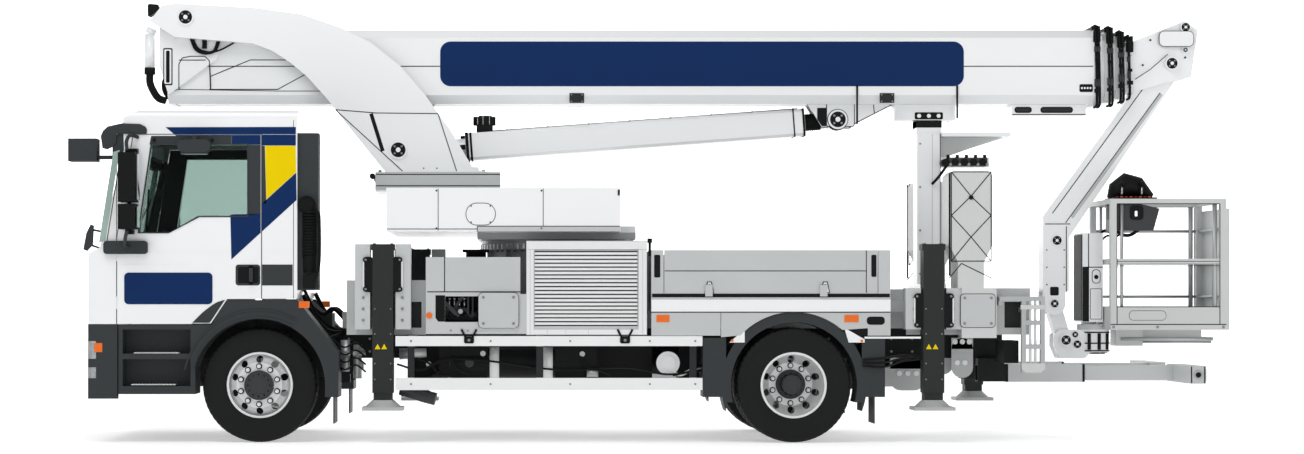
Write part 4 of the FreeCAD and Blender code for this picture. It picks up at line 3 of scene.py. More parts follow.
import bmesh
import bpy
import numpy as np
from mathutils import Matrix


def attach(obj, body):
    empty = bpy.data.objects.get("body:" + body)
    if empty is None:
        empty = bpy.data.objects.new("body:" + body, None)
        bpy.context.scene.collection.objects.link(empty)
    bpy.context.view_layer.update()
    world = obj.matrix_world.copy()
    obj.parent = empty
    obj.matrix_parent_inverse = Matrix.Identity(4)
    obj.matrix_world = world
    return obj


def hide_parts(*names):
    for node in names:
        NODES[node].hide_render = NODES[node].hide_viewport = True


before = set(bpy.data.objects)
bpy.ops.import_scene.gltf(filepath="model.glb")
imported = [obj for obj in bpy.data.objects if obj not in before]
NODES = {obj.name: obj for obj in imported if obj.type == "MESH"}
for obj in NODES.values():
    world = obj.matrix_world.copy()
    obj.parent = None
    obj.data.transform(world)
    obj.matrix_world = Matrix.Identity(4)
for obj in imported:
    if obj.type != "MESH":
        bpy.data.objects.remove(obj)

bl_info = {
    "name": "Cherry picker truck dressing",
    "version": (1, 0, 0),
    "blender": (4, 5, 0),
    "location": "View3D > Sidebar > Truck",
    "description": "Dresses the packed cherry picker truck with materials, tyres, lamps, hoses and fittings",
    "category": "Object",
}

# The truck faces -X and its left side, which the camera sees, is at -Y.  Tables are in millimetres.
MM = 0.001
SIDE = 1250
PROUD = 2
MIRROR = (1, -1, 1)
# How far the flat sides of the upper parts stand from the truck's middle
PLATFORM_SIDE, NECK_SIDE, BOOM_SIDE, ROOT_SIDE, LIFT_SIDE, SKID_SIDE = 1200, 400, 260, 290, 125, 120
HEAD_SIDE, JIB_SIDE, BASKET_SIDE, DESK_SIDE = 178, 115, 450, 185
LEFT, UP, DOWN = (0, -1, 0), (0, 0, 1), (0, 0, -1)
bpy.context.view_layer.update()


# Shapes
class Shape:
    """Points and faces in millimetres, gathered so that one object can be made of them.

    Films, strips, lines, tiles and studs lie on its left face, which is side away from the truck's middle.
    """

    def __init__(self, side=SIDE, depth=PROUD):
        self.side = side
        self.depth = depth
        self.points = []
        self.faces = []
        self.kinds = []
        self.smooth = []
        self.count = 0
        self.kind = 0

    def add(self, points, faces, smooth=False):
        """Adds points with faces that count from the first of them."""
        points = np.asarray(points, float).reshape(-1, 3)
        self.points.append(points)
        start = self.count
        self.faces += [tuple(start + int(corner) for corner in face) for face in faces]
        self.kinds += [self.kind] * len(faces)
        self.smooth += [smooth] * len(faces)
        self.count += len(points)
        return self

    def of(self, kind):
        """Faces added from here on take material number kind."""
        self.kind = kind
        return self

    def on(self, side, depth=PROUD):
        """Flat pieces added from here on lie that far from the truck's middle, and stand out by depth."""
        self.side = side
        self.depth = depth
        return self

    def box(self, x, y, z):
        """A block between two values on each axis."""
        points = [(a, b, c) for a in x for b in y for c in z]
        return self.add(points, [(0, 1, 3, 2), (4, 6, 7, 5), (0, 4, 5, 1), (2, 3, 7, 6), (0, 2, 6, 4), (1, 5, 7, 3)])

    def grid(self, points, smooth, loop=True):
        """A skin over rows of points: each row closes on itself, and the last meets the first if loop is set."""
        rows, width = np.shape(points)[:2]
        return self.add(points, [(i * width + j, i * width + (j + 1) % width, (i + 1) % rows * width + (j + 1) % width,
                                  (i + 1) % rows * width + j)
                                 for i in range(rows if loop else rows - 1) for j in range(width)], smooth)

    def prism(self, outline, low, high, plane="xz"):
        """An outline drawn in one plane, given depth across it from low to high."""
        order = {"xz": (0, 2, 1), "xy": (0, 1, 2), "yz": (2, 0, 1)}[plane]
        flat = np.asarray(outline, float)
        count = len(flat)
        block = np.vstack([np.column_stack((flat, np.full(count, depth))) for depth in (low, high)])
        sides = [(i, (i + 1) % count, count + (i + 1) % count, count + i) for i in range(count)]
        caps = [tuple(range(count))[::-1], tuple(range(count, 2 * count))]
        return self.add(block[:, order], sides + caps)

    def rod(self, start, end, radius, sides=20, tip=None):
        """A round bar or cone between two points, its rim turned about the line that joins them."""
        return self.hull([start, end], [radius, radius if tip is None else tip], sides)

    def bar(self, axis, start, stop, radius, sides=20, tip=None):
        """A rod along one axis, from a point to the value stop on that axis."""
        end = list(start)
        end["xyz".index(axis)] = stop
        return self.rod(start, end, radius, sides, tip)

    def hull(self, path, radii, sides=14):
        """A round skin along a path: each ring is the radius times cosine and sine of even turns."""
        path = np.asarray(path, float)
        along = np.gradient(path, axis=0)
        along /= np.linalg.norm(along, axis=1)[:, None]
        up = np.array((0.0, 0.0, 1.0)) if abs(along[0][2]) < 0.9 else np.array((1.0, 0.0, 0.0))
        turn = np.linspace(0, 2 * math.pi, sides, endpoint=False)
        rings = []
        for place, forward, radius in zip(path, along, radii):
            right = np.cross(forward, up)
            right /= np.linalg.norm(right)
            up = np.cross(right, forward)
            rings.append(place + radius * (np.outer(np.cos(turn), right) + np.outer(np.sin(turn), up)))
        total = len(path) * sides
        self.grid(rings, True, False)
        return self.add([], [tuple(range(-total, sides - total))[::-1], tuple(range(-sides, 0))])

    def hose(self, path, radius, sides=10, steps=6):
        """A hose through points, on the curve that passes through each with the slope of its neighbours."""
        path = np.asarray(path, float)
        padded = np.vstack([2 * path[0] - path[1], path, 2 * path[-1] - path[-2]])
        t = np.linspace(0, 1, steps, endpoint=False)[:, None]
        spans = []
        for i in range(1, len(padded) - 2):
            a, b, c, d = padded[i - 1:i + 3]
            spans.append(0.5 * (2 * b + (c - a) * t + (2 * a - 5 * b + 4 * c - d) * t ** 2
                                + (3 * b - a - 3 * c + d) * t ** 3))
        line = np.vstack(spans + [path[-1:]])
        return self.hull(line, [radius] * len(line), sides)

    def ring(self, centre, axis, radius, bar, sides=48, around=10):
        """A round bar bent into a full circle about an axis."""
        a = np.linspace(0, 2 * math.pi, sides, endpoint=False)[:, None]
        b = np.linspace(0, 2 * math.pi, around, endpoint=False)[None, :]
        reach = radius + bar * np.cos(b)
        first, second, third = reach * np.cos(a), reach * np.sin(a), bar * np.sin(b) + 0 * a
        order = {"x": (third, first, second), "y": (first, third, second), "z": (first, second, third)}[axis]
        return self.grid(np.stack(order, axis=-1) + np.asarray(centre, float), True)

    def bolts(self, places, axis, height, radius, sides=6):
        """Bolt heads at each place, standing up along an axis vector by height."""
        axis = np.asarray(axis, float)
        for place in places:
            place = np.asarray(place, float)
            self.rod(place - axis, place + axis * height, radius, sides)
        return self

    def plate(self, x, z, radius, low, high, plane="xz"):
        """A flat plate with rounded corners."""
        return self.prism(rounded(x, z, radius), low, high, plane)

    def seam(self, points, low, high, width=8):
        """Thin strips that follow points in side view."""
        for start, end in zip(points, points[1:]):
            start, end = np.array(start, float), np.array(end, float)
            side = (end - start)[::-1] * (-1, 1) / np.linalg.norm(end - start) * width / 2
            self.prism([start - side, end - side, end + side, start + side], low, high)
        return self

    def film(self, outline, depth=None):
        """A sheet on the left face."""
        return self.prism(outline, -self.side, -self.side - (depth or self.depth))

    def strip(self, x, z, depth):
        """A rectangle on the left face."""
        return self.box(x, (-self.side - depth, -self.side), z)

    def line(self, points, width=8, depth=None):
        """A seam on the left face."""
        return self.seam(points, -self.side, -self.side - (depth or self.depth), width)

    def tile(self, x, z, radius, depth=None):
        """A plate with rounded corners on the left face."""
        return self.film(rounded(x, z, radius), depth)

    def studs(self, across, up, height, radius, proud=0):
        """Bolt heads in columns and rows on the left face, or that far proud of it."""
        return self.bolts([(x, -self.side - proud, z) for x in across for z in up], LEFT, height, radius)

    def pin_cap(self, x, z, radius, kinds=(0, 1, 2)):
        """A round cover over a pin's left end: a pale ring, a dark disc with a nut and four bolts."""
        y = -self.side
        pale, dark, steel = kinds
        self.of(pale).bar("y", (x, y + 1, z), y - 14, radius, 36).bar("y", (x, y, z), y - 22, radius * 0.26, 20)
        self.of(dark).bar("y", (x, y, z), y - 16, radius * 0.8, 32)
        return self.of(steel).bolts(circle_of((x, y - 16, z), radius * 0.54, 4, start=45), LEFT, 6, radius * 0.13)

    def flip(self):
        """Moves all that it holds to the other side."""
        self.points = [points * MIRROR for points in self.points]
        return self

    def mirror(self):
        """Adds the mirror image, across the truck's middle, of all that it holds."""
        self.points += [points * MIRROR for points in self.points]
        self.faces += [tuple(self.count + corner for corner in face) for face in self.faces]
        self.kinds *= 2
        self.smooth *= 2
        self.count *= 2
        return self

    def make(self, name, body, *materials):
        """Makes the object, turns its faces outwards and lets it ride on a body."""
        mesh = bpy.data.meshes.new(name)
        mesh.from_pydata((np.vstack(self.points) * MM).tolist(), [], self.faces)
        mesh.polygons.foreach_set("material_index", np.asarray(self.kinds, np.int32))
        mesh.polygons.foreach_set("use_smooth", np.asarray(self.smooth, bool))
        for material in materials:
            mesh.materials.append(MATERIALS[material])
        work = bmesh.new()
        work.from_mesh(mesh)
        bmesh.ops.recalc_face_normals(work, faces=work.faces)
        work.to_mesh(mesh)
        work.free()
        mesh.update()
        piece = link(name, mesh)
        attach(piece, body)
        return piece


def link(name, data):
    """Puts data into the scene as an object."""
    item = bpy.data.objects.new(name, data)
    bpy.context.scene.collection.objects.link(item)
    return item


def rounded(x, z, radius, steps=5):
    """Outline of a rectangle whose corners are arcs of the radius."""
    outline = []
    for cx, cz, start in ((x[1] - radius, z[1] - radius, 0), (x[0] + radius, z[1] - radius, 90),
                          (x[0] + radius, z[0] + radius, 180), (x[1] - radius, z[0] + radius, 270)):
        for step in range(steps + 1):
            turn = math.radians(start + 90 * step / steps)
            outline.append((cx + radius * math.cos(turn), cz + radius * math.sin(turn)))
    return outline


def arc(cx, cz, radius, start, end, steps=24):
    """Points on an arc between two angles in degrees."""
    turns = np.radians(np.linspace(start, end, steps + 1))
    return [(cx + radius * math.cos(turn), cz + radius * math.sin(turn)) for turn in turns]


def circle_of(centre, radius, count, axis="y", start=0.0):
    """Places evenly round a circle about an axis."""
    turn = math.radians(start) + 2 * math.pi * np.arange(count) / count
    across, up, none = radius * np.cos(turn), radius * np.sin(turn), 0 * turn
    shift = {"y": (across, none, up), "z": (across, up, none), "x": (none, across, up)}[axis]
    return np.asarray(centre, float) + np.stack(shift, axis=-1)


# Materials
MATERIALS = {}


def linear(code):
    """Turns a hex sRGB colour into linear light."""
    parts = [int(code[i:i + 2], 16) / 255 for i in (1, 3, 5)]
    return [p / 12.92 if p <= 0.04045 else ((p + 0.055) / 1.055) ** 2.4 for p in parts] + [1.0]


def put(tree, kind, links=(), **values):
    """Adds a node, sets its inputs by name and joins what links says to it."""
    item = tree.nodes.new(kind)
    for key, value in values.items():
        key = key.replace("_", " ")
        if key in item.inputs:
            item.inputs[key].default_value = value
        else:
            setattr(item, key.replace(" ", "_"), value)
    for source, target in links:
        tree.links.new(source, item.inputs[target])
    return item


def surface(name, colour, roughness, metallic=0.0, ior=1.5, coat=0.0, grain=3.0, depth=0.05, shade=0.05,
            streak=None, clear=0.0, glow=0.0, band=None):
    """A material whose tint and fine relief follow noise in object coordinates.

    The colour runs from darker to lighter by the share in shade as the noise goes from 0 to 1; grain is the
    size of the relief in millimetres, depth how strong it is, and streak stretches it along one axis.  A band
    is the colour of the paint between two places on an axis, and on others where it is a box.
    """
    material = bpy.data.materials.new(name)
    material.use_nodes = True
    tree = material.node_tree
    tree.nodes.clear()
    place = put(tree, "ShaderNodeTexCoord")
    spread = put(tree, "ShaderNodeMapping", [(place.outputs["Object"], "Vector")], Scale=streak or (1, 1, 1))
    broad = put(tree, "ShaderNodeTexNoise", [(spread.outputs["Vector"], "Vector")], Scale=1 / (600 * MM), Detail=3.0)
    fine = put(tree, "ShaderNodeTexNoise", [(spread.outputs["Vector"], "Vector")], Scale=1 / (grain * MM), Detail=2.0)
    base = linear(colour)
    dark = [c * (1 - shade) for c in base[:3]] + [1.0]
    light = [min(1.0, c * (1 + shade)) for c in base[:3]] + [1.0]
    tint = put(tree, "ShaderNodeMix", [(broad.outputs["Fac"], "Factor")], data_type="RGBA")
    tint.inputs[6].default_value = dark
    tint.inputs[7].default_value = light
    paint = tint.outputs[2]
    if band:
        other, *ranges = band
        parts = put(tree, "ShaderNodeSeparateXYZ", [(place.outputs["Object"], "Vector")])
        inside = None
        for axis, low, high in ranges:
            within = put(tree, "ShaderNodeMath", [(parts.outputs[axis], 0)], operation="COMPARE")
            within.inputs[1].default_value = (low + high) / 2 * MM
            within.inputs[2].default_value = (high - low) / 2 * MM
            if inside:
                within = put(tree, "ShaderNodeMath", [(inside.outputs[0], 0), (within.outputs[0], 1)],
                             operation="MULTIPLY")
            inside = within
        swap = put(tree, "ShaderNodeMix", [(inside.outputs[0], "Factor"), (paint, 6)], data_type="RGBA")
        swap.inputs[7].default_value = linear(other)
        paint = swap.outputs[2]
    bump = put(tree, "ShaderNodeBump", [(fine.outputs["Fac"], "Height")], Strength=depth, Distance=MM)
    shader = put(tree, "ShaderNodeBsdfPrincipled",
                 [(paint, "Base Color"), (bump.outputs["Normal"], "Normal")],
                 Roughness=roughness, Metallic=metallic, IOR=ior)
    shader.inputs["Coat Weight"].default_value = coat
    shader.inputs["Coat Roughness"].default_value = 0.08
    shader.inputs["Transmission Weight"].default_value = clear
    if glow:
        tree.links.new(paint, shader.inputs["Emission Color"])
        shader.inputs["Emission Strength"].default_value = glow
    end = put(tree, "ShaderNodeOutputMaterial")
    tree.links.new(shader.outputs["BSDF"], end.inputs["Surface"])
    MATERIALS[name] = material
    return material


def tread_plate(name, colour):
    """Rolled plate: short raised bars in a crossed pattern, made from two sloped wave sets multiplied."""
    material = surface(name, colour, 0.38, metallic=0.9, grain=4, depth=0.1)
    tree = material.node_tree
    place = put(tree, "ShaderNodeTexCoord")
    sets = []
    for turn in (45, -45):
        lay = put(tree, "ShaderNodeMapping", [(place.outputs["Object"], "Vector")],
                  Rotation=(0, 0, math.radians(turn)))
        sets.append(put(tree, "ShaderNodeTexWave", [(lay.outputs["Vector"], "Vector")], Scale=1 / (110 * MM)))
    both = put(tree, "ShaderNodeMath", [(sets[0].outputs["Fac"], 0), (sets[1].outputs["Fac"], 1)],
               operation="MULTIPLY")
    relief = put(tree, "ShaderNodeBump", [(both.outputs[0], "Height")], Strength=0.7, Distance=2 * MM)
    shader = next(n for n in tree.nodes if n.type == "BSDF_PRINCIPLED")
    tree.links.new(relief.outputs["Normal"], shader.inputs["Normal"])
    return material


def make_materials():
    """All the materials, each named for what it is on the real truck.

    The real grains, 0.1 to 0.5 mm, are too fine to show from where the truck is seen, so they are drawn at 1 to
    3 mm.  Dark materials have a lower IOR than the 1.5 of their kind, as the even white room would grey them.
    """
    looks = bpy.context.scene.truck_looks
    white, navy, yellow = (to_hex(colour) for colour in (looks.body_colour, looks.navy_colour, looks.yellow_colour))
    gloss = {"coat": 0.4, "grain": 2.5, "depth": 0.03, "shade": 0.01}
    # Two-pack gloss under clear lacquer: even, with soft reflections; some solids also hold a grey flange or the
    # dark console, which the bands colour, and the bands of the cab, doors and turntable are painted shade
    surface("white_paint", white, 0.28, **gloss)
    # The cab's dark band is painted shade: it darkens the inside faces of the shell to the shade within the cab
    surface("cab_paint", white, 0.28, **gloss,
            band=("#232627", ("X", -4900, -3236), ("Y", -1215, 1215), ("Z", 1285, 2600)))
    # The doors' dark band is painted shade on their inside faces, as in the cab
    surface("door_paint", white, 0.28, band=("#232627", ("Y", -1238, 1238)), **gloss)
    surface("neck_paint", white, 0.28, band=("#c3c6c6", ("Z", 2200, 2427)), **gloss)
    # The turntable's grey band below Z 1862 is painted shade on its lower part and underside, and under the slew plate
    # also that plate's grey
    surface("platform_paint", white, 0.28, band=("#a4a7a7", ("Z", 1700, 1862)), **gloss)
    surface("console_paint", white, 0.4, grain=2.5, depth=0.1, shade=0.01, band=("#26282a", ("X", 4150, 4700)))
    # Cast vinyl film: flat, full colour with little gloss
    surface("navy_film", navy, 0.5, ior=1.15, grain=2, depth=0.02)
    surface("yellow_film", yellow, 0.5, ior=1.15, grain=2, depth=0.02)
    # Powder coat: even colour whose fine orange peel spreads the highlights; the chassis is brushed satin
    surface("grey_powder_coat", "#bfc2c2", 0.45, grain=1.6, depth=0.12)
    surface("pale_powder_coat", "#cbcecd", 0.42, grain=1.6, depth=0.1)
    surface("dark_powder_coat", "#292c2b", 0.5, ior=1.3, grain=1.6, depth=0.15)
    surface("jack_powder_coat", "#292c2b", 0.5, ior=1.3, grain=1.6, depth=0.15, band=("#b4b7b6", ("Z", 200, 377)))
    surface("chassis_paint", "#141617", 0.5, ior=1.3, grain=2, depth=0.15)
    # Moulded plastics: matt, with an even leather grain
    surface("moulded_grey_plastic", "#34383a", 0.5, ior=1.3, grain=0.9, depth=0.25)
    surface("black_plastic", "#0f1011", 0.5, ior=1.25, grain=0.9, depth=0.2)
    # Drawn or rolled aluminium: pale, with faint lines along its length
    drawn = {"grain": 1.2, "depth": 0.08, "streak": (0.05, 1, 1)}
    surface("anodised_aluminium", "#e0e2e2", 0.32, metallic=0.6, **drawn)
    surface("guard_aluminium", "#f0f2f2", 0.34, metallic=0.3, band=("#1b1d1f", ("Z", 574, 851)), **drawn)
    surface("shutter_aluminium", "#e9ebeb", 0.4, metallic=0.2, **drawn)
    # Steels: zinc mottles broadly, turned and plated faces mirror sharply, cast iron is dull and rough
    surface("galvanised_steel", "#b4b7b8", 0.42, metallic=0.7, grain=9, depth=0.1, shade=0.12)
    surface("machined_steel", "#b6b9bb", 0.25, metallic=1.0, grain=1.5, depth=0.06)
    surface("hard_chrome", "#e2e5e8", 0.08, metallic=1.0, grain=1, depth=0.01)
    surface("wheel_silver", "#e4e6e6", 0.36, metallic=0.35, grain=1.5, depth=0.05)
    surface("zinc_bolts", "#8b8f92", 0.38, metallic=0.9, grain=1, depth=0.08)
    surface("grey_iron", "#3a3c3e", 0.55, metallic=0.5, grain=2.2, depth=0.3)
    # Rubber drinks the light and shows wear as a slight change of grey; woven cloth is duller still
    surface("tyre_rubber", "#141516", 0.68, ior=1.3, grain=1.4, depth=0.25, shade=0.12)
    surface("black_rubber", "#0b0c0c", 0.6, ior=1.25, grain=1.2, depth=0.2)
    surface("seat_cloth", "#1e2022", 0.85, grain=1.6, depth=0.4)
    # Acrylic lenses, silvered mirrors and float glass with a green tint: clear, smooth and hard-edged
    surface("clear_lens", "#eef2f3", 0.06, ior=1.49, clear=0.7, grain=6, depth=0.1)
    surface("amber_lens", "#e0650e", 0.18, ior=1.49, grain=4, depth=0.2, glow=0.1)
    surface("red_lens", "#a8140f", 0.18, ior=1.49, grain=4, depth=0.2, glow=0.1)
    surface("mirror_glass", "#dfe4e6", 0.03, metallic=1.0, grain=8, depth=0.0)
    surface("tinted_glass", "#adbcb7", 0.02, ior=1.14, clear=1.0, grain=50, depth=0.0)
    surface("screen_edge", "#a3bab2", 0.12, grain=50, depth=0.0)
    tread_plate("tread_plate", "#c4c7c8")


def to_hex(colour):
    """A colour picker's value, which is in linear light, as a hex sRGB code."""
    code = "#"
    for part in colour[:3]:
        part = 12.92 * part if part <= 0.0031308 else 1.055 * part ** (1 / 2.4) - 0.055
        code += f"{round(255 * min(max(part, 0), 1)):02x}"
    return code


# Starts of node names; the longest start that fits a node is the one that counts
NODE_LOOKS = {
    "cab_paint": "cab_shell",
    "door_paint": "door_",
    "white_paint": "boom_ lift_barrel jib carrier level_link",
    "neck_paint": "gooseneck",
    "platform_paint": "turntable",
    "console_paint": "basket_controls",
    "grey_powder_coat": "support_frame load_bed drop_side side_cabinets tail_bar",
    "pale_powder_coat": "basket rear_cabinets",
    "dark_powder_coat": "outrigger_beam",
    "jack_powder_coat": "outrigger_jack",
    "chassis_paint": "chassis_frame front_axle rear_axle knuckle",
    "moulded_grey_plastic": "bumper cab_cladding cab_trim rear_fenders",
    "black_plastic": "mirror tanks",
    "guard_aluminium": "side_rails",
    "galvanised_steel": "tail_steps",
    "hard_chrome": "lift_rod",
    "wheel_silver": "rim",
    "grey_iron": "drivetrain",
    "tyre_rubber": "tyre",
    "seat_cloth": "cab_interior",
    "clear_lens": "headlamps",
    "tinted_glass": "windscreen door_glass",
}


def dress_nodes():
    """Every CAD node gets the material of its real finish."""
    looks = {start: material for material, starts in NODE_LOOKS.items() for start in starts.split()}
    for name, node in NODES.items():
        fits = [start for start in looks if name.startswith(start)]
        if not fits:
            raise RuntimeError(f"no material for {name}")
        node.data.materials.clear()
        node.data.materials.append(MATERIALS[looks[max(fits, key=len)]])


# Wheels
AXLE_Z = 507
FRONT_AXLE_X, REAR_AXLE_X = -3540, 1170
AXLES = {
    "tyre_front_left": ("wheel_front_left", FRONT_AXLE_X, (-1025,)),
    "tyre_front_right": ("wheel_front_right", FRONT_AXLE_X, (1025,)),
    "tyre_rear_left": ("wheels_rear_left", REAR_AXLE_X, (-1078, -735)),
    "tyre_rear_right": ("wheels_rear_right", REAR_AXLE_X, (1078, 735)),
}
# How deep the twin wheels' nuts lie inside the outer tyre's middle, and the radius of their circle
DISH = 171
NUT_CIRCLE = 167.5
TYRE_SECTION = [(-116, 287), (-126, 292), (-134, 302), (-145, 330), (-153, 362), (-156, 396), (-154, 428), (-150, 452),
                (-149.5, 455), (-148, 458), (-147, 470), (-144, 484), (-138, 495), (-132, 500), (-122, 503)]
GROOVES = (-88, -31, 31, 88)
GROOVE_HALF, GROOVE_DEPTH = 6, 13
TYRE_RADIUS, TYRE_STEPS = 507, 224
CROWN_HALF, CROWN_DROP = 122, 3.5
SHOULDER, SLOT_DEPTH, CUT_DEPTH = 95, 9, 6


def tyre_shape(shape, centre_x, centre_y, blocks):
    """A tyre: its section turned about the axle, with grooves round it and slots across its shoulders.

    Radius r and width y come from the section; a point at turn a is (r cos a, y, r sin a).  Each fourth step has
    the slots, and those of a tyre with blocks are joined by shallow cuts across the tread between them.
    """
    section = list(TYRE_SECTION)
    for groove in GROOVES:
        for shift, drop in ((-GROOVE_HALF - 1, 0), (-GROOVE_HALF, GROOVE_DEPTH), (GROOVE_HALF, GROOVE_DEPTH),
                            (GROOVE_HALF + 1, 0)):
            crown = TYRE_RADIUS - CROWN_DROP * ((groove + shift) / CROWN_HALF) ** 2
            section.append((groove + shift, crown - drop))
    y, radius = np.array(section + [(-y, r) for y, r in reversed(TYRE_SECTION)], float).T
    turn = np.linspace(0, 2 * math.pi, TYRE_STEPS, endpoint=False)[:, None]
    phase = np.arange(TYRE_STEPS)[:, None] % 4
    slots = (phase == 0) * ((np.abs(y) > SHOULDER) & (radius > 480)) * SLOT_DEPTH
    cuts = (phase == 2) * ((np.abs(y) < SHOULDER) & (radius > 500)) * CUT_DEPTH
    reach = radius - slots - blocks * cuts
    shape.grid(np.stack((centre_x + reach * np.cos(turn), centre_y + y + 0 * reach, AXLE_Z + reach * np.sin(turn)),
                        axis=-1), True)


def make_tyres():
    """A grooved tyre for each CAD tyre."""
    for node, (body, x, centres) in AXLES.items():
        shape = Shape()
        for y in centres:
            tyre_shape(shape, x, y, len(centres) - 1)
        piece = shape.make("look_" + node, body, "tyre_rubber")
        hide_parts(node)


def make_wheel_fittings():
    """Wheel nuts on their dark washers, and the bolted hub caps."""
    for node, (body, x, centres) in AXLES.items():
        side = np.sign(centres[0])
        double = len(centres) == 2
        face = centres[0] - side * DISH if double else centres[0] + side * (DISH + 1)
        out = np.array((0, side, 0))
        shape = Shape()
        for place in circle_of((x, face + side * 8, AXLE_Z), NUT_CIRCLE, 10, start=18):
            # The dark disc under each nut is painted shade in the nut's recessed seat
            shape.of(2).rod(place, place + out * 8, 27, 20)
            shape.of(0).rod(place, place + out * 30, 19, 6).rod(place, place + out * 44, 11, 12)
        cap = np.array((x, face + side * (46 if double else 44), AXLE_Z))
        shape.of(1).rod(cap - out * 34, cap + out * 1, 132, 48, tip=130)
        shape.rod(cap - out * 20, cap + out * 8, 118, 40, tip=112).rod(cap, cap + out * 12, 76, 32, tip=70)
        shape.bolts(circle_of(cap, 96, 12), out, 8, 8)
        if double:
            shape.rod(cap, cap + out * 120, 92, 36, tip=84).bolts(circle_of(cap + out * 120, 66, 8), out, 8, 8)
        shape.make("wheel_nuts_" + node[5:], body, "wheel_silver", "grey_iron", "black_rubber")


# Cab
CAB_FRONT = -5041
NAVY_ROOF = [(-4359, 2778), (-3213, 2780), (-3213, 2716), (-4282, 2716)]
NAVY_DOOR_TOP = [(-4273, 2710), (-3522, 2710), (-3522, 2624), (-3776, 2624), (-3776, 2701), (-4264, 2701)]
NAVY_DOOR = [(-3522, 2017), (-3522, 1850), (-3780, 1614), (-3789, 2010)]
NAVY_REAR_TOP = [(-3512, 2712), (-3213, 2712), (-3213, 2617), (-3512, 2617)]
YELLOW_REAR = [(-3483, 2614), (-3215, 2614), (-3210, 2382), (-3472, 2144)]
NAVY_REAR = [(-3472, 2140), (-3210, 2378), (-3206, 2138), (-3512, 1859), (-3512, 2104)]
PILLAR_REAR = [(-3512, 2614), (-3486, 2614), (-3474, 2140), (-3474, 2108), (-3512, 2108)]
PILLAR_DOOR = [(-3641, 2622), (-3522, 2622), (-3522, 2017), (-3641, 2003)]
WINDOW_LINE = [(-4592, 1856), (-4478, 2622), (-3641, 2622), (-3641, 1999), (-4073, 1999), (-4319, 1856)]
DOOR_ARCH_TRIM = [(-4124, 1058), (-4080, 1102), (-4036, 1146), (-3991, 1182), (-3948, 1214), (-3903, 1240),
                  (-3836, 1260), (-3970, 1058)]
BRACKET = [(-5095, 1705), (-5062, 1690), (-5012, 1745), (-5003, 1915), (-5030, 1925), (-5068, 1850)]
VISOR_END = [(-4912, 2593), (-4927, 2699), (-4908, 2745), (-4867, 2784), (-4746, 2811), (-4580, 2805), (-4535, 2782),
             (-4520, 2755), (-4526, 2718), (-4788, 2718), (-4792, 2640), (-4830, 2600), (-4870, 2582)]


def frame_strip(shape, outline, width, y, depth):
    """A flat strip that follows an outline in side view, offset outwards by width at each corner."""
    inner = np.asarray(outline, float)
    outer = inner + width * np.sign(inner - inner.mean(axis=0))
    for i in range(len(inner)):
        shape.prism([inner[i - 1], inner[i], outer[i], outer[i - 1]], y, y - depth)


def on_both_sides(name, body, build, *materials, side=SIDE):
    """Makes a piece on the left and its mirror image on the right; a body ending in _left has a right one."""
    for end in ("left", "right"):
        shape = Shape(side)
        build(shape)
        if end == "right":
            shape.flip()
        shape.make(f"{name}_{end}", body.replace("_left", "_" + end), *materials)


def make_stripes():
    """Navy and yellow films on the cab's sides, and the blank navy plate on each door."""
    def shell(shape):
        for outline in (NAVY_ROOF, NAVY_REAR_TOP, NAVY_REAR):
            shape.film(outline)
        shape.of(1).film(YELLOW_REAR)

    def door(shape):
        shape.film(NAVY_DOOR_TOP).film(NAVY_DOOR)
        shape.plate((-4722, -3946), (1221, 1499), 38, -SIDE, -SIDE - 2 * PROUD)
    on_both_sides("cab_film", "chassis", shell, "navy_film", "yellow_film")
    on_both_sides("door_film", "cab_door_left", door, "navy_film")


def make_door_fittings():
    """Window rubbers, the dark rear pillar, handle, hinge covers and swage line of each door."""
    def door(shape):
        shape.film(PILLAR_DOOR).film(DOOR_ARCH_TRIM, 2 * PROUD)
        shape.film([(-4484, 2701), (-3778, 2701), (-3778, 2626), (-4500, 2626)], 2 * PROUD)
        frame_strip(shape, WINDOW_LINE, 12, -SIDE + 2, 8)
        shape.tile((-3743, -3526), (1386, 1570), 26, PROUD)
        shape.of(1).plate((-3722, -3540), (1406, 1550), 16, -SIDE - PROUD, -SIDE - PROUD - 1)
        grip = (-3622, -3590)
        shape.of(0).box(grip, (-SIDE - 30, -SIDE - 22), (1400, 1556))
        for z in ((1400, 1416), (1540, 1556)):
            shape.box(grip, (-SIDE - 30, -SIDE), z)
        for x in (-4470, -4220, -3960):
            shape.of(1).strip((x, x + 26), (2650, 2676), 14)
        shape.of(2).strip((-4760, -3800), (1672, 1680), 3).strip((-4760, -4143), (1562, 1570), 3)

    def shell(shape):
        shape.film(PILLAR_REAR).strip((-3509, -3241), (1386, 1570), PROUD)
        shape.seam([(-4130, 1047), (-3958, 1047), (-3820, 1254)], -SIDE, -SIDE - PROUD, 9)
        shape.seam([(-3512, 1259), (-3205, 1259)], -SIDE, -SIDE - PROUD, 14)
        shape.strip((-3518, -3511), (1300, 2712), 1).strip((-3236, -3231), (1270, 2840), 1)
        shape.strip((-4792, -4786), (1060, 2500), 1)
        shape.of(1).strip((-4921, -4790), (1672, 1680), 3).strip((-3505, -3240), (1672, 1680), 3)
    on_both_sides("door_fittings", "cab_door_left", door, "moulded_grey_plastic", "black_plastic", "white_paint")
    on_both_sides("cab_side_fittings", "chassis", shell, "moulded_grey_plastic", "white_paint")


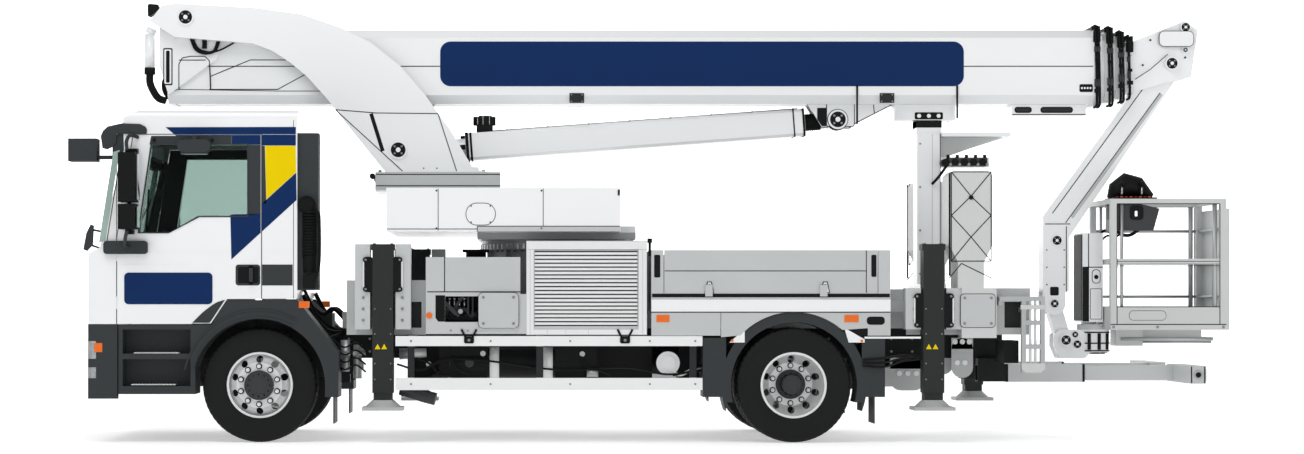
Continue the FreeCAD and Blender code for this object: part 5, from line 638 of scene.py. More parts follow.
def make_cab_front():
    """The dark grille with its bars, wipers, bumper lines, lamp lenses with bezels, and marker lamps."""
    front = CAB_FRONT
    shape = Shape()
    shape.plate((-980, 980), (1120, 1650), 60, front + 2, front - 3, "yz")
    for low in range(1165, 1600, 78):
        shape.prism([(front - 20, low), (front - 3, low + 34), (front - 3, low), (front - 16, low - 8)], -900, 900)
    shape.of(1).box((front - 8, front), (-1040, 1040), (1058, 1074))
    shape.of(0).box((front - 4, front), (-1100, 1100), (560, 700)).box((front - 6, front), (-260, 260), (840, 1000))
    for low in (580, 620, 660):
        shape.box((front - 12, front - 3), (-1060, 1060), (low, low + 16))
    for y in (-700, 0, 620):
        start, end = np.array((-4960, y, 1735)), np.array((-4800, y + 430, 2230))
        shape.hose([start, start + (-30, 10, 40), (start + end) / 2 + (-22, 0, 0), end + (-14, 0, 0)], 9, 8)
        shape.rod(end + (-10, -200, 90), end + (-66, 30, -330), 9, 8)
        shape.rod(start + (10, 0, 0), start + (-20, 0, 0), 26, 12)
    for y in (-1090, 1090):
        for low in (1300, 1420):
            shape.box((front - 10, front), (y - 90, y + 90), (low, low + 18))
    shape.make("cab_front_fittings", "chassis", "black_plastic", "moulded_grey_plastic")
    lamp = Shape()
    for y in (-1010, -1120):
        lamp.of(0).bar("x", (front - 5, y, 818), front + 21, 54, 28)
        lamp.of(1).ring((front - 5, y, 818), "x", 56, 5, 32, 8)
    lamp.of(2).box((-4985, -4915), (-SIDE - 4, -SIDE + 4), (800, 880)).strip((-3186, -3094), (1188, 1247), 12)
    for y in (-450, -980):
        lamp.box((-4640, -4560), (y - 50, y + 50), (2890, 2924))
    lamp.mirror().make("cab_lamps", "chassis", "clear_lens", "machined_steel", "amber_lens")


def make_cab_side_gear():
    """Steps' alloy treads, the visor's end, wheel arch ribs, the intake hose and the pipes behind the cab."""
    def build(shape):
        for low, reach in ((789, (-4640, -4240)), (510, (-4662, -4272))):
            shape.box(reach, (-1246, -1080), (low, low + 6))
            for number in range(13):
                x = reach[0] + 12 + number * 30
                shape.box((x, x + 12), (-1248, -1080), (low + 6, low + 10))
        shape.of(1)
        for radius in (598, 664):
            rib = arc(FRONT_AXLE_X, AXLE_Z, radius + 6, 60, 168) + arc(FRONT_AXLE_X, AXLE_Z, radius - 6, 168, 60)
            shape.film([(max(x, -4780), z) for x, z in rib], 9)
        shape.of(3).strip((-4784, -4772), (410, 1040), 2)
        shape.of(2).film([(-4818, 2560), (-4762, 2579), (-4888, 1780), (-4945, 1763)])
        shape.of(1).film([(-4752, 2579), (-4744, 2579), (-4870, 1780), (-4878, 1780)])
        shape.prism(BRACKET, -1150, -1180)
        for x, z in ((-4900, 1700), (-4880, 1850)):
            shape.rod((-5020, -1165, z + (40 if z == 1700 else 30)), (x, -1165, z), 9, 12)
        shape.film(VISOR_END, 14)
        shape.prism([(-4860, 2700), (-4850, 2755), (-4790, 2775), (-4780, 2722)], -SIDE - 14, -SIDE - 15)
    on_both_sides("cab_side_gear", "chassis", build, "anodised_aluminium", "moulded_grey_plastic", "screen_edge",
                  "black_plastic")
    intake = Shape()
    intake.bar("y", (-3118, -1262, 2094), -1200, 80, 30).bar("y", (-3118, -1274, 2094), -1262, 58, 30)
    intake.bar("z", (-3096, -1222, 1500), 2050, 56, 24)
    for number in range(16):
        intake.ring((-3096, -1222, 1640 + number * 26), "z", 58, 8, 28, 8)
    intake.of(1).box((-3150, -3040), (-1272, -1240), (1360, 1480)).of(0)
    for number in range(3):
        intake.hose([(-3060 + number * 22, -1262, 2100 - number * 30), (-3012 + number * 6, -1270, 1960),
                     (-3016 + number * 6, -1272, 1560), (-3070, -1262, 1400)], 9)
    intake.make("intake_hose", "chassis", "black_rubber", "black_plastic")
    pipes = Shape()
    for y in range(-260, 221, 120):
        pipes.hose([(-3190, y, 1240), (-3050, y - 30, 1130), (-2960, y + 20, 1180), (-2850, y + 60, 1075)], 17)
    for y, z, radius in ((-700, 1300, 22), (-620, 1350, 14), (-900, 1240, 16), (640, 1320, 20)):
        pipes.hose([(-3190, y, z), (-3080, y * 1.08, z - 210), (-2980, y * 0.9, z - 320),
                    (-2850, math.copysign(422, y), 960)], radius)
    pipes.make("air_lines", "chassis", "black_rubber")


def make_mirrors():
    """Mirror glasses and their arms, the lower covers, and the kerb mirror over the left door's window."""
    def build(shape):
        shape.box((-4575, -4569), (-1488, -1365), (2130, 2530)).box((-4575, -4569), (-1488, -1365), (1890, 2075))
        shape.of(1)
        shape.hose([(-4640, -1256, 1720), (-4700, -1330, 1730), (-4690, -1400, 1800), (-4670, -1420, 1870)], 16)
        shape.hose([(-4600, -1256, 2690), (-4660, -1330, 2700), (-4680, -1400, 2640), (-4670, -1420, 2560)], 16)
        shape.plate((-4900, -4513), (1662, 1778), 30, -1252, -1296)
    on_both_sides("mirror_fittings", "chassis", build, "mirror_glass", "moulded_grey_plastic")
    kerb = Shape()
    kerb.plate((-4238, -3950), (2552, 2664), 54, -1268, -1384).plate((-4214, -3974), (2538, 2556), 8, -1290, -1370)
    kerb.box((-4132, -4068), (-1276, -1252), (2640, 2704)).bar("z", (-4100, -1300, 2640), 2690, 22, 18)
    kerb.of(1).box((-4208, -3980), (-1366, -1294), (2534, 2537))
    kerb.make("kerb_mirror", "cab_door_left", "moulded_grey_plastic", "mirror_glass")


# Sub-structure
LEGS = {"front_left": (-2449, -1), "front_right": (-2210, 1), "rear_left": (2399, -1), "rear_right": (3150, 1)}
SLEW_CENTRE = np.array((-915, 0))


def make_leg_fittings():
    """Yellow triangles, the dark wear frame, cap bolts and foot ribs on each outrigger."""
    for name, (x, side) in LEGS.items():
        low, high = (1328, 1638) if name.startswith("front") else (1014, 1317)
        shape = Shape()
        for start in (x - 70, x - 12):
            shape.film([(start, 826), (start + 50, 826), (start + 25, 872)])
        shape.of(1).bolts([(x + dx, -1160 + dy, 1751) for dx in (-76, 76) for dy in (-60, 60)], UP, 9, 12)
        shape.studs((x - 70, x + 70), (560, 700, 960, 1180), 5, 7)
        shape.studs((x - 150, x + 150), (low + 26, high - 26), 5, 11, 12)
        for way in (-1, 1):
            shape.of(2).plate(sorted((x + way * 92, x + way * 160)), (low, high), 14, 2 - SIDE, -SIDE - 5)
            shape.of(3).box((x + way * 164, x + way * 176), (-SIDE - 2, 8 - SIDE), (low + 40, high - 40))
            for z in (low + 26, high - 26):
                shape.of(2).bar("y", (x + way * 150, -SIDE, z), -SIDE - 12, 24, 20)
        foot = Shape()
        for dx, dy, _ in circle_of((0, 0, 0), 108, 8, "z", 22.5):
            foot.rod((x + dx, dy - 1158, 318), (x + 0.6 * dx, 0.6 * dy - 1158, 372), 9, 8)
        foot.bolts(circle_of((x, -1158, 318), 140, 6, "z"), UP, 10, 12)
        if side > 0:
            shape.flip()
            foot.flip()
        shape.make("leg_fittings_" + name, "beam_" + name, "yellow_film", "zinc_bolts", "black_plastic",
                   "shutter_aluminium")
        foot.make("foot_ribs_" + name, "jack_" + name, "galvanised_steel")


def make_support_fittings():
    """Teeth and bolts of the slew ring, ribs on the pedestal, frame bolts, slewing motor and hydraulic bay."""
    teeth = Shape()
    for count, start, radius, low, high, kind, section in (
            (72, 0, 690, 1722, 1768, 0, ((-16, -17), (-16, 17), (4, 10), (4, -10))),
            (12, 15, 590, 1500, 1712, 2, ((-8, -8), (-8, 8), (60, 8), (60, -8)))):
        for place in circle_of((0, 0, 0), radius, count, "z", start):
            out = place[:2] / radius
            side = np.array((-out[1], out[0]))
            teeth.of(kind).prism([SLEW_CENTRE + place[:2] + out * a + side * b for a, b in section], low, high, "xy")
    teeth.of(1).bolts(circle_of((*SLEW_CENTRE, 1716), 615, 48, "z"), DOWN, 18, 11)
    teeth.make("slew_ring_teeth", "chassis", "machined_steel", "zinc_bolts", "grey_powder_coat")
    bolts = Shape()
    for x, side in LEGS.values():
        for z in (1080, 1180, 1280):
            bolts.bolts([(x + way, side * 1234, z) for way in (-172, 172)], (0, side, 0), 8, 13)
    for x in range(-2800, 2711, 190):
        for side in (-1, 1):
            bolts.bolts([(x, side * 430, 905), (x, side * 430, 790)], (0, side, 0), 9, 12)
    bolts.make("frame_bolts", "chassis", "zinc_bolts")

    motor = Shape()
    motor.bar("z", (-1640, -560, 1640), 1712, 92, 30).bar("z", (-1640, -560, 1540), 1640, 74, 26)
    motor.box((-1760, -1520), (-700, -480), (1690, 1714)).bar("x", (-1700, -640, 1600), -1560, 48, 20)
    motor.make("slew_drive", "chassis", "black_plastic")

    def bay(shape):
        shape.of(1).box((-1905, -1610), (-955, -951), (1064, 1302))
        shape.film([(-1985, 1300), (-1902, 1300), (-1902, 1068), (-1960, 1068), (-1985, 1100)], 1)
        shape.of(0).seam([(-1960, 1296), (-1780, 1110)], -1150, -1170, 34)
        shape.seam([(-1740, 1300), (-1860, 1130)], -1100, -1120, 26)
        shape.seam([(-1700, 1300), (-1700, 1130), (-1640, 1080)], -1120, -1140, 16)
        shape.seam([(-1660, 1300), (-1660, 1110)], -1120, -1140, 14)
        shape.of(2).bar("y", (-1766, -1180, 1158), -1196, 28, 24, tip=20)
        shape.of(3).bar("y", (-2040, -SIDE, 1122), -SIDE - 9, 27, 24)
        shape.of(0).box((-1930, -1700), (-1110, -1010), (1100, 1190))
        for x in range(-1910, -1733, 44):
            shape.of(2).bar("z", (x, -1100, 1190), 1262, 8, 10).bar("z", (x, -1100, 1262), 1276, 14, 12)
            shape.of(1).hose([(x, -1112, 1150), (x + 6, -1160, 1120), (x + 50, -1170, 1090), (x + 130, -1120, 1084)],
                             11)
        shape.of(0).bar("x", (-1690, -1080, 1120), -1620, 40, 20)
    on_both_sides("hydraulic_bay", "chassis", bay, "grey_iron", "black_rubber", "machined_steel", "amber_lens")


# Bodywork
def make_cabinet_fittings():
    """Shutter slats with their posts and foot rail, the box tube's end, and the bolted locker cover."""
    def build(shape):
        shutter = (-1112, -209)
        # The dark sheet behind the slats is painted shade, which shows as dark lines in the joints between them
        shape.box(shutter, (-1238, -1237), (1003, 1689))
        shape.line([(-1905, 1330), (-1905, 1634)]).line([(-2057, 1330), (-1240, 1330)]).of(1)
        for number in range(20):
            low = 1004 + number * 34.3
            shape.prism([(-1238, low), (-1243, low + 3), (-1245, low + 12), (-1243, low + 21), (-1238, low + 24)],
                        *shutter, "yz")
        for x in ((-1183, -1154), (-1150, -1122), (-199, -164), (-160, -128)):
            shape.strip(x, (955, 1700), 3)
        for x in ((-1122, -1000), (-997, -840), (-837, -640), (-637, -380), (-377, -199)):
            shape.box(x, (-1253, -1240), (957, 998))
        shape.strip((-1183, -128), (1704, 1774), 3).of(4).strip((-42, 72), (1064, 1126), 6)
        shape.strip((1612, 1735), (1064, 1126), 6).of(3).studs((-2180, -1850, -1700), (990,), 5, 9)
        shape.studs((-1563, -1298), (1052, 1282), 5, 13, 22).studs((-1690, -318), (905,), 6, 14, 12)
        shape.of(2).on(SIDE + 14).tile((-1606, -1255), (1012, 1322), 42, 8)
        shape.of(0).on(SIDE + 8).tile((-1610, -1251), (1008, 1326), 45, 6).on(SIDE + 2, 10)
        for x in (-1690, -318):
            shape.tile((x - 44, x + 44), (876, 940), 16)
            for way in (-1, 1):
                shape.line([(x + way * 30, 930), (x + way * 66, 1000)], 18)
    on_both_sides("cabinet_fittings", "chassis", build, "black_plastic", "shutter_aluminium", "grey_powder_coat",
                  "zinc_bolts", "amber_lens")


def make_bed_fittings():
    """Joints, slots and hinge brackets of the drop sides, fender brackets, the tread plate and the white rail."""
    def board(shape):
        shape.line([(30, 1514), (1804, 1514)], 7, 1.5).line([(1804, 1322), (1804, 1696)], 7, 1.5)
        shape.tile((1848, 1893), (1461, 1656), 12, 1.5)
        for x in (424, 1443):
            shape.film([(x - 42, 1320), (x + 42, 1320), (x + 20, 1420), (x - 20, 1420)], 5)
            shape.of(1).film([(x - 34, 1326), (x + 34, 1326), (x + 13, 1413), (x - 13, 1413)], 8)
            shape.of(2).studs((x,), (1390,), 5, 10, 8).of(0).studs((x,), (1346,), 4, 10, 8)

    def bed(shape):
        arch = arc(REAR_AXLE_X, AXLE_Z, 646, 49, 137, 22)
        shape.of(4).prism([(1832, 1156), (1832, 1012)] + arch + [(527, 930), (527, 1156)], -1249, -1244)
        shape.of(2).box((1640, 2010), (-1243, -1238), (940, 1008)).of(0).strip((-86, 2017), (1158, 1262), 4)
        for outline in ([(600, 884), (735, 884), (735, 1002)], [(1611, 1014), (1650, 884), (1790, 884), (1790, 912)]):
            shape.prism(outline, -1234, -1246)
        shape.box((1790, 2285), (-1240, -1232), (918, 936))
        shape.of(3).bar("y", (625, -1246, 902), -1252, 12, 16).bar("y", (1765, -1246, 898), -1252, 12, 16)
        shape.of(2).tile((-62, -8), (1456, 1656), 12, 1.5)
        shape.strip((-80, 2010), (1282, 1314), 3).line([(-86, 1150), (2017, 1150)], 7, 1.5)
        shape.tile((1808, 1966), (1040, 1112), 30, 1.5)
        shape.bar("z", (-100, -1235, 1640), 1790, 12, 12).bar("z", (-100, -1235, 1760), 1800, 22, 14)
    on_both_sides("board_fittings", "board_left", board, "black_plastic", "shutter_aluminium", "zinc_bolts")
    on_both_sides("bed_fittings", "chassis", bed, "white_paint", "galvanised_steel", "black_plastic", "amber_lens",
                  "grey_powder_coat")
    floor = Shape().box((24, 1900), (-1190, 1190), (1320, 1323))
    floor.make("bed_floor_plate", "chassis", "tread_plate")


def make_underside_fittings():
    """Exhaust pipes, silencer bands, air vessels, the filter's cap, brake lines, frame plates and bolts."""
    shape = Shape()
    shape.of(3).bar("x", (-380, -620, 700), 120, 110, 28)
    shape.of(4).studs((-2200, -1500, -800, -100, 300), (897, 519), 5, 10)
    for x, z, holes in (((2113, 2429), (438, 735), [(x, 593) for x in (2196, 2273, 2349)]),
                        ((2669, 2864), (552, 914), [(2700, 880), (2767, 880), (2830, 880), (2720, 690), (2790, 690)])):
        shape.of(6).plate(x, z, 96, -538, -548).box(x, (-548, -538), (z[1] - 100, z[1]))
        shape.of(5).bolts([(a, -548, b) for a, b in holes], LEFT, 7, 24, 16)
    shape.mirror().of(0)
    for x in (-1511, -1035):
        shape.bar("x", (x, -930, 699), x + 84, 138, 40).bar("x", (x, 930, 699), x + 84, 40, 20)
    shape.of(1).bar("x", (-1860, -930, 699), -1885, 128, 36, tip=90).bar("x", (-618, -930, 699), -594, 128, 36, tip=90)
    shape.hose([(-1880, -940, 620), (-1990, -960, 560), (-2120, -1000, 480), (-2300, -1030, 440)], 44, 20, 8)
    shape.hose([(-2300, -1040, 470), (-2200, -1050, 440), (-2090, -1060, 405), (-1990, -1070, 380)], 56, 20, 8)
    shape.bar("y", (-1690, -1072, 700), -1076, 40, 20).of(3)
    for x, y in (((-2240, -1890), (-880, -600)), ((-590, -60), (-860, -560)), ((170, 360), (-900, -560))):
        shape.box(x, y, (560, 850))
    shape.box((-1860, -1800), (-1060, -1020), (790, 850)).box((-620, -560), (-1060, -1020), (780, 850))
    shape.of(2).rod((-2310, -1080, 780), (-2070, -1080, 790), 50, 24, tip=40)
    shape.bar("x", (-650, -1080, 608), -550, 32, 20)
    for x, z in ((-2050, 690), (-1570, 784), (-690, 780)):
        shape.bar("y", (x, -1074, z), -1092, 24, 20)
    shape.of(5).bar("y", (70, -1063, 699), -1084, 104, 36).bar("y", (70, -1084, 699), -1092, 66, 30)
    shape.hose([(110, -1080, 620), (180, -1090, 596), (280, -1086, 640), (362, -1080, 650)], 13).of(3)
    for path in ([(-2330, 690), (-2120, 640), (-1900, 730), (-1500, 716), (-900, 640), (-300, 660), (60, 600),
                  (380, 640)],
                 [(-2330, 800), (-2050, 700), (-1960, 600), (-1860, 590)], [(-1860, 760), (-1780, 640), (-1700, 610)],
                 [(-700, 760), (-640, 660), (-560, 640), (-440, 600)], [(110, 590), (240, 620), (400, 700)]):
        shape.hose([(x, -1100, z) for x, z in path], 9, 8)
    shape.box((-930, -560), (-1062, -1052), (560, 840)).box((-1960, -1530), (-1046, -1040), (570, 840))
    shape.of(2).bar("z", (-2790, -900, 620), 900, 52, 24).bar("z", (-2690, -940, 560), 860, 38, 22)
    shape.box((-2880, -2640), (-880, -840), (640, 700)).rod((-2860, -960, 760), (-2620, -960, 800), 30, 20)
    shape.of(3).bar("z", (-2740, -980, 600), 900, 15, 14).bar("z", (-2850, -940, 560), 870, 12, 14)
    for z in range(640, 839, 66):
        shape.hose([(-2900, -980, z + 60), (-2800, -1010, z), (-2700, -1020, z + 40), (-2610, -1040, z - 20)], 8, 8)
    for number in range(3):
        z = 700 + number * 26
        shape.hose([(1772, -1256, z - 20), (1960, -1260, z - 30 + number * 12), (2120, -1258, z + 20),
                    (2290, -1240, z + 40 - number * 16)], 9, 8)
    shape.make("underside_fittings", "chassis", "shutter_aluminium", "grey_iron", "galvanised_steel",
               "black_plastic", "zinc_bolts", "white_paint", "grey_powder_coat")


def make_rear_fittings():
    """Creased tool cabinet doors, the bolted rear cover, ladder plates, tail sleeves, lamps and the valve unit."""
    def build(shape):
        a, b, c, d, e, f, g, h = ((2552, 2385), (2725, 2171), (2902, 2385), (2902, 2002), (2725, 1812), (2552, 2002),
                                  (2552, 1600), (2902, 1600))
        # The dark lines along the creases are painted shade in the folds; the closed outline among them is the door's
        # edge
        for crease in ([a, b, c], [d, b, f], [d, e, f], [g, e, h], [a, c, h, g, a],
                       [(2530, 1448), (2640, 1580), (2910, 1448)]):
            shape.line(crease)
        shape.box((2529, 2545), (-SIDE - 1, -SIDE + 4), (1470, 2380)).bar("y", (2725, -SIDE, 2160), -SIDE - 10, 20, 24)
        shape.tile((2630, 2940), (1014, 1314), 34, 3)
        shape.of(1).tile((2635, 2935), (1019, 1309), 32, 8)
        shape.of(2).studs((2668, 2902), (1052, 1276), 5, 13, 8)
        shape.of(3).box((2952, 2960), (-1180, -980), (1000, 1090))
    on_both_sides("rear_cabinet_fittings", "chassis", build, "black_plastic", "grey_powder_coat", "zinc_bolts",
                  "red_lens")
    steps = Shape()
    for x in (3248, 3292):
        steps.box((x, x + 22), (-1192, -1172), (690, 1249))
    steps.prism([(3179, 700), (3386, 700), (3386, 650), (3350, 618), (3215, 618), (3179, 650)], -1200, -1206)
    steps.box((3170, 3394), (-1206, -1200), (1175, 1215)).of(1).box((3040, 3172), (-1100, -700), (700, 900))
    steps.make("ladder_plates", "chassis", "pale_powder_coat", "black_plastic")
    tail = Shape().box((4817, 4822), (-1140, -420), (540, 650))
    for number in range(3):
        tail.of(1 + number % 2).box((4822, 4828), (-700 - number * 150, -820 - number * 150), (560, 630))
    for x in (4690, 4806):
        tail.of(0).box((x - 5, x + 5), (-1153, -1150), (524, 669))
    tail.bar("y", (4750, -1150, 597), -1156, 22, 24).of(3).ring((4750, -1154, 597), "y", 32, 8, 28, 8)
    tail.mirror().make("tail_lamps", "underrun_guard", "black_plastic", "red_lens", "amber_lens", "galvanised_steel")
    sleeve = Shape()
    for kind, reach, out in ((0, (3185, 3858), 2), (1, (3165, 3185), 3), (1, (3858, 3879), 3)):
        sleeve.of(kind)
        for y in ((-377, out - 377), (-533 - out, -533)):
            sleeve.box(reach, y, (518.5 - out, 674.5 + out))
        for z in ((518.5 - out, 518.5), (674.5, 674.5 + out)):
            sleeve.box(reach, (-533, -377), z)
    sleeve.mirror().make("tail_sleeves", "chassis", "grey_powder_coat", "black_plastic")
    post = Shape().of(1).prism([(2642, 2762), (3210, 2762), (2642, 2560)], -30, -34)
    post.box((2560, 2566), (-123, -120), (1420, 2790))
    post.of(2).bolts([(2450, -120, z) for z in (1500, 1900, 2300, 2700)], LEFT, 6, 10).mirror()
    post.of(0).prism([(2412, 2912), (2652, 2912), (2640, 2917), (2424, 2917)], -110, 110)
    post.box((2417, 2649), (-127, 127), (2849, 2911)).seam([(2636, 1500), (2636, 2790)], -120, -123, 6)
    post.of(3).box((2690, 3040), (-300, -160), (2486, 2560))
    for x in range(2660, 2997, 84):
        post.of(0).bar("y", (x, -310, 2520), -140, 34, 18).bar("z", (x + 30, -230, 2540), 2592, 16, 14)
        post.of(2).bar("y", (x + 40, -306, 2500), -300, 14, 14)
    post.of(0).hose([(2680, -260, 2500), (2640, -240, 2440), (2600, -200, 2380), (2560, -135, 2330)], 13)
    post.make("rest_fittings", "chassis", "black_plastic", "pale_powder_coat", "zinc_bolts", "grey_iron")


# Turntable and gooseneck
def make_turntable_fittings():
    """Panel seams, the oval cover's joint and corner bolts on the rotating platform."""
    def build(shape):
        for x in (-1963, -1037):
            shape.strip((x - 3, x + 3), (1870, 2240), 1)
        shape.line([(-2415, 1884), (-362, 1884)], 7, 1)
        shape.film(rounded((-1721, -1455), (1916, 2115), 98, 10), 2)
        shape.of(1).film(rounded((-1715, -1461), (1922, 2109), 92, 10), 4)
        shape.of(0).studs((-1672, -1504), (1945, 2086), 2, 7, 4).studs((-1978, -1052), (1890, 2222), 3, 9)
        shape.strip((-380, -362), (2180, 2230), 4).of(2).strip((-1618, -362), (1863, 1908), 3)
        shape.of(0).on(PLATFORM_SIDE + 3, 1).line([(-1618, 1862), (-1618, 1908), (-362, 1908)], 6)
    on_both_sides("turntable_fittings", "upper_frame", build, "black_plastic", "white_paint", "grey_powder_coat",
                  side=PLATFORM_SIDE)


def make_gooseneck_fittings():
    """Pin covers, web joints, the slot between the webs and the flange's bolts."""
    shape = Shape(NECK_SIDE).pin_cap(-4291, 3838, 76).pin_cap(-2352, 2627, 84).of(1)
    for path in ([(-2925, 2994), (-2560, 2964), (-1990, 2958)], [(-2925, 2994), (-2313, 2434)],
                 [(-1990, 2958), (-1820, 2434)], [(-2555, 2404), (-1425, 2404)], [(-2555, 2300), (-1425, 2300)]):
        shape.line(path)
    # The wide dark line is painted shade in the slot between the webs
    shape.line([(-2600, 2958), (-2493, 2616)], 34).studs((-2120, -2000), (2460,), 2, 7)
    shape.prism([(-4640, 3945), (-4626, 3961), (-4546, 3954), (-4532, 3912), (-4616, 3846), (-4636, 3850)], -300, -396)
    shape.bar("y", (-2588, -330, 2388), -408, 26, 20)
    for x in range(-2520, -1440, 135):
        shape.of(2).bolts([(x, -370, 2426)], UP, 20, 17).bolts([(x, -300, 2262)], DOWN, 12, 17)
    shape.mirror().make("gooseneck_pins", "upper_frame", "white_paint", "black_plastic", "zinc_bolts")


# Boom
def make_boom_fittings():
    """The blank navy panel, joints, root slot, covers and hoses, the skid and the bolted brackets below."""
    shape = Shape(BOOM_SIDE).film(rounded((-1974, 2829), (3219, 3629), 96, 8), 3).of(3)
    for path, width in (([(-4470, 3402), (-1974, 3402)], 8), ([(2829, 3402), (4016, 3402)], 8),
                        ([(-4078, 3311), (-3716, 3460), (-3200, 3460)], 8),
                        ([(-4090, 3190), (-3464, 3190), (-3198, 3335)], 8),
                        ([(-4500, 3160), (-4367, 3190), (-3464, 3175), (-2900, 3175)], 6)):
        shape.line(path, width)
    for x in (-788, 2057):
        shape.of(2).strip((x, x + 134), (3066, 3156), 5).of(4).studs((x + 18, x + 116), (3080, 3142), 4, 8, 5)
    shape.of(3).tile((3890, 4012), (3166, 3238), 14, 3)
    shape.of(1).studs((3912, 3938, 3964, 3990), (3202,), 5, 10, 3).of(3)
    for side in (BOOM_SIDE, ROOT_SIDE):
        shape.on(side).line([(-4367, 3456), (-4120, 3456)])
        shape.line([(-4367, 3190), (-4367, 3420), (-4335, 3476), (-4260, 3491), (-4130, 3491), (-4088, 3450),
                    (-4078, 3190)])
    # The root slot is drawn flat in tiles; the dark middle one is painted shade in the recessed slot
    shape.tile((-4510, -4425), (3226, 3566), 14).of(1).tile((-4500, -4435), (3238, 3554), 10, 4)
    shape.of(3).tile((-4484, -4451), (3250, 3542), 8, 6).on(LIFT_SIDE).tile((1582, 1846), (2854, 3148), 22, 3)
    shape.film([(1500, 2924), (1544, 2862), (1582, 2862), (1582, 3030), (1500, 3030)], 3)
    shape.line([(1846, 2886), (2184, 3058)], 7).line([(2020, 3060), (2026, 2982)], 7)
    shape.of(1).tile((1590, 1838), (2862, 3140), 18, 6)
    shape.of(3).bar("y", (1688, -131, 2923), -134, 97, 40).on(LIFT_SIDE + 9).pin_cap(1688, 2923, 90, (1, 3, 4)).of(3)
    for x, low in ((1850, 2872), (2768, 2925)):
        shape.bar("z", (x, -266, low), 3225, 9, 14)
    shape.on(SKID_SIDE).tile((2400, 2660), (2925, 2990), 12, 3).line([(3300, 2970), (3980, 2970)])
    shape.of(1).studs((2440, 2530, 2620), (2957,), 6, 20, 3)
    for low, high in ((3320, 3480), (3560, 3860)):
        shape.of(3).tile((low, high), (2984, 3040), 26).of(2).tile((low + 12, high - 12), (2996, 3028), 15, 4)
    shape.mirror().make("boom_fittings", "boom", "navy_film", "white_paint", "dark_powder_coat", "black_plastic",
                        "zinc_bolts")
    root = Shape()
    for y in range(-160, 121, 70):
        root.hose([(-4500, y, 3320), (-4525, y, 3260), (-4518, y - 8, 3180), (-4470, y, 3110), (-4400, y, 3072)], 17)
    for step in range(0, 5, 2):
        root.hose([(-4262 + step * 6, -300, 3660), (-4214 + step * 5, -312, 3552 + step * 4),
                   (-4126, -312, 3512 + step * 5), (-4030 - step * 4, -312, 3540), (-3986 - step * 5, -300, 3650)], 9)
    root.hose([(-4060, -304, 3524), (-3960, -300, 3560), (-3820, -290, 3640)], 8)
    root.bar("z", (-4130, -306, 3560), 3640, 22, 18).bar("z", (-4642, -225, 3330), 3390, 50, 26)
    root.hose([(-4642, -225, 3340), (-4640, -225, 3250), (-4600, -225, 3160), (-4560, -215, 3110), (-4500, -190, 3090)],
              34, 16, 10)
    root.of(1).bar("z", (-4642, -225, 3390), 3700, 46, 30).rod((-4642, -225, 3700), (-4620, -225, 3750), 46, 30)
    root.make("root_hoses", "boom", "black_rubber", "white_paint")


def make_section_heads():
    """Dark brackets, clamps and hanging hoses at the heads of the base and each moving section."""
    heads = (("boom", 4020, 282, 3062, 3740, 2), ("telescope_1", 4140, 270, 3074, 3728, 2),
             ("telescope_2", 4250, 235, 3109, 3693, 2), ("telescope_3", 4345, 178, 3144, 3658, 1))
    for number, (body, x, half, low, high, count) in enumerate(heads):
        shape = Shape(half).studs((x + 30,), (low + 70, high - 150, high - 70), 7, 11)
        shape.of(1).tile((x - 10, x + 58), (high - 120, high - 20), 10, 8).strip((x, x + 50), (low + 96, low + 130), 30)
        shape.strip((x + 6, x + 44), (high - 300, high - 272), 26).mirror()
        shape.box((x - 10, x + 56), (60 - half, half - 60), (high, high + 30))
        shape.box((x + 4, x + 20), (-half, 60 - half), (high - 20, high + 44))
        shape.box((x + 30, x + 56), (-half, 44 - half), (high - 30, high + 30))
        for start in range(x + 10, x + 10 + 26 * count, 26):
            shape.of(2).hose([(start - 20, 40 - half, high + 24), (start - 6, -half - 12, high + 16),
                              (start, -half - 18, high - 90), (start + 8, -half - 16, (low + high) / 2),
                              (start + 12, -half - 18, low + 60), (start + 14, 10 - half, low - 20),
                              (start + 10, 90 - half, low - 34)], 12)
            shape.of(3).rod((start + 6, -half - 18, low + 150), (start + 6, -half - 17, low + 220), 17, 14)
            shape.rod((start + 2, -half - 18, high - 210), (start + 2, -half - 17, high - 160), 17, 14)
        shape.make(f"head_fittings_{number}", body, "zinc_bolts", "black_plastic", "black_rubber", "grey_iron")
    lead = Shape(HEAD_SIDE - 15).pin_cap(4886, 3770, 48).on(HEAD_SIDE).pin_cap(4757, 3436, 62).pin_cap(4880, 3560, 26)
    lead.of(1).tile((4640, 4960), (3590, 3735), 46).line([(4420, 3290), (4560, 3380), (4720, 3520)], 7)
    for x, z in ((4490, 3420), (4560, 3650), (4880, 3490)):
        lead.studs((x,), (z,), 4, 11)
    lead.of(0).tile((4645, 4955), (3595, 3730), 42, 4)
    lead.mirror().make("boom_head_fittings", "telescope_3", "white_paint", "black_plastic", "zinc_bolts")


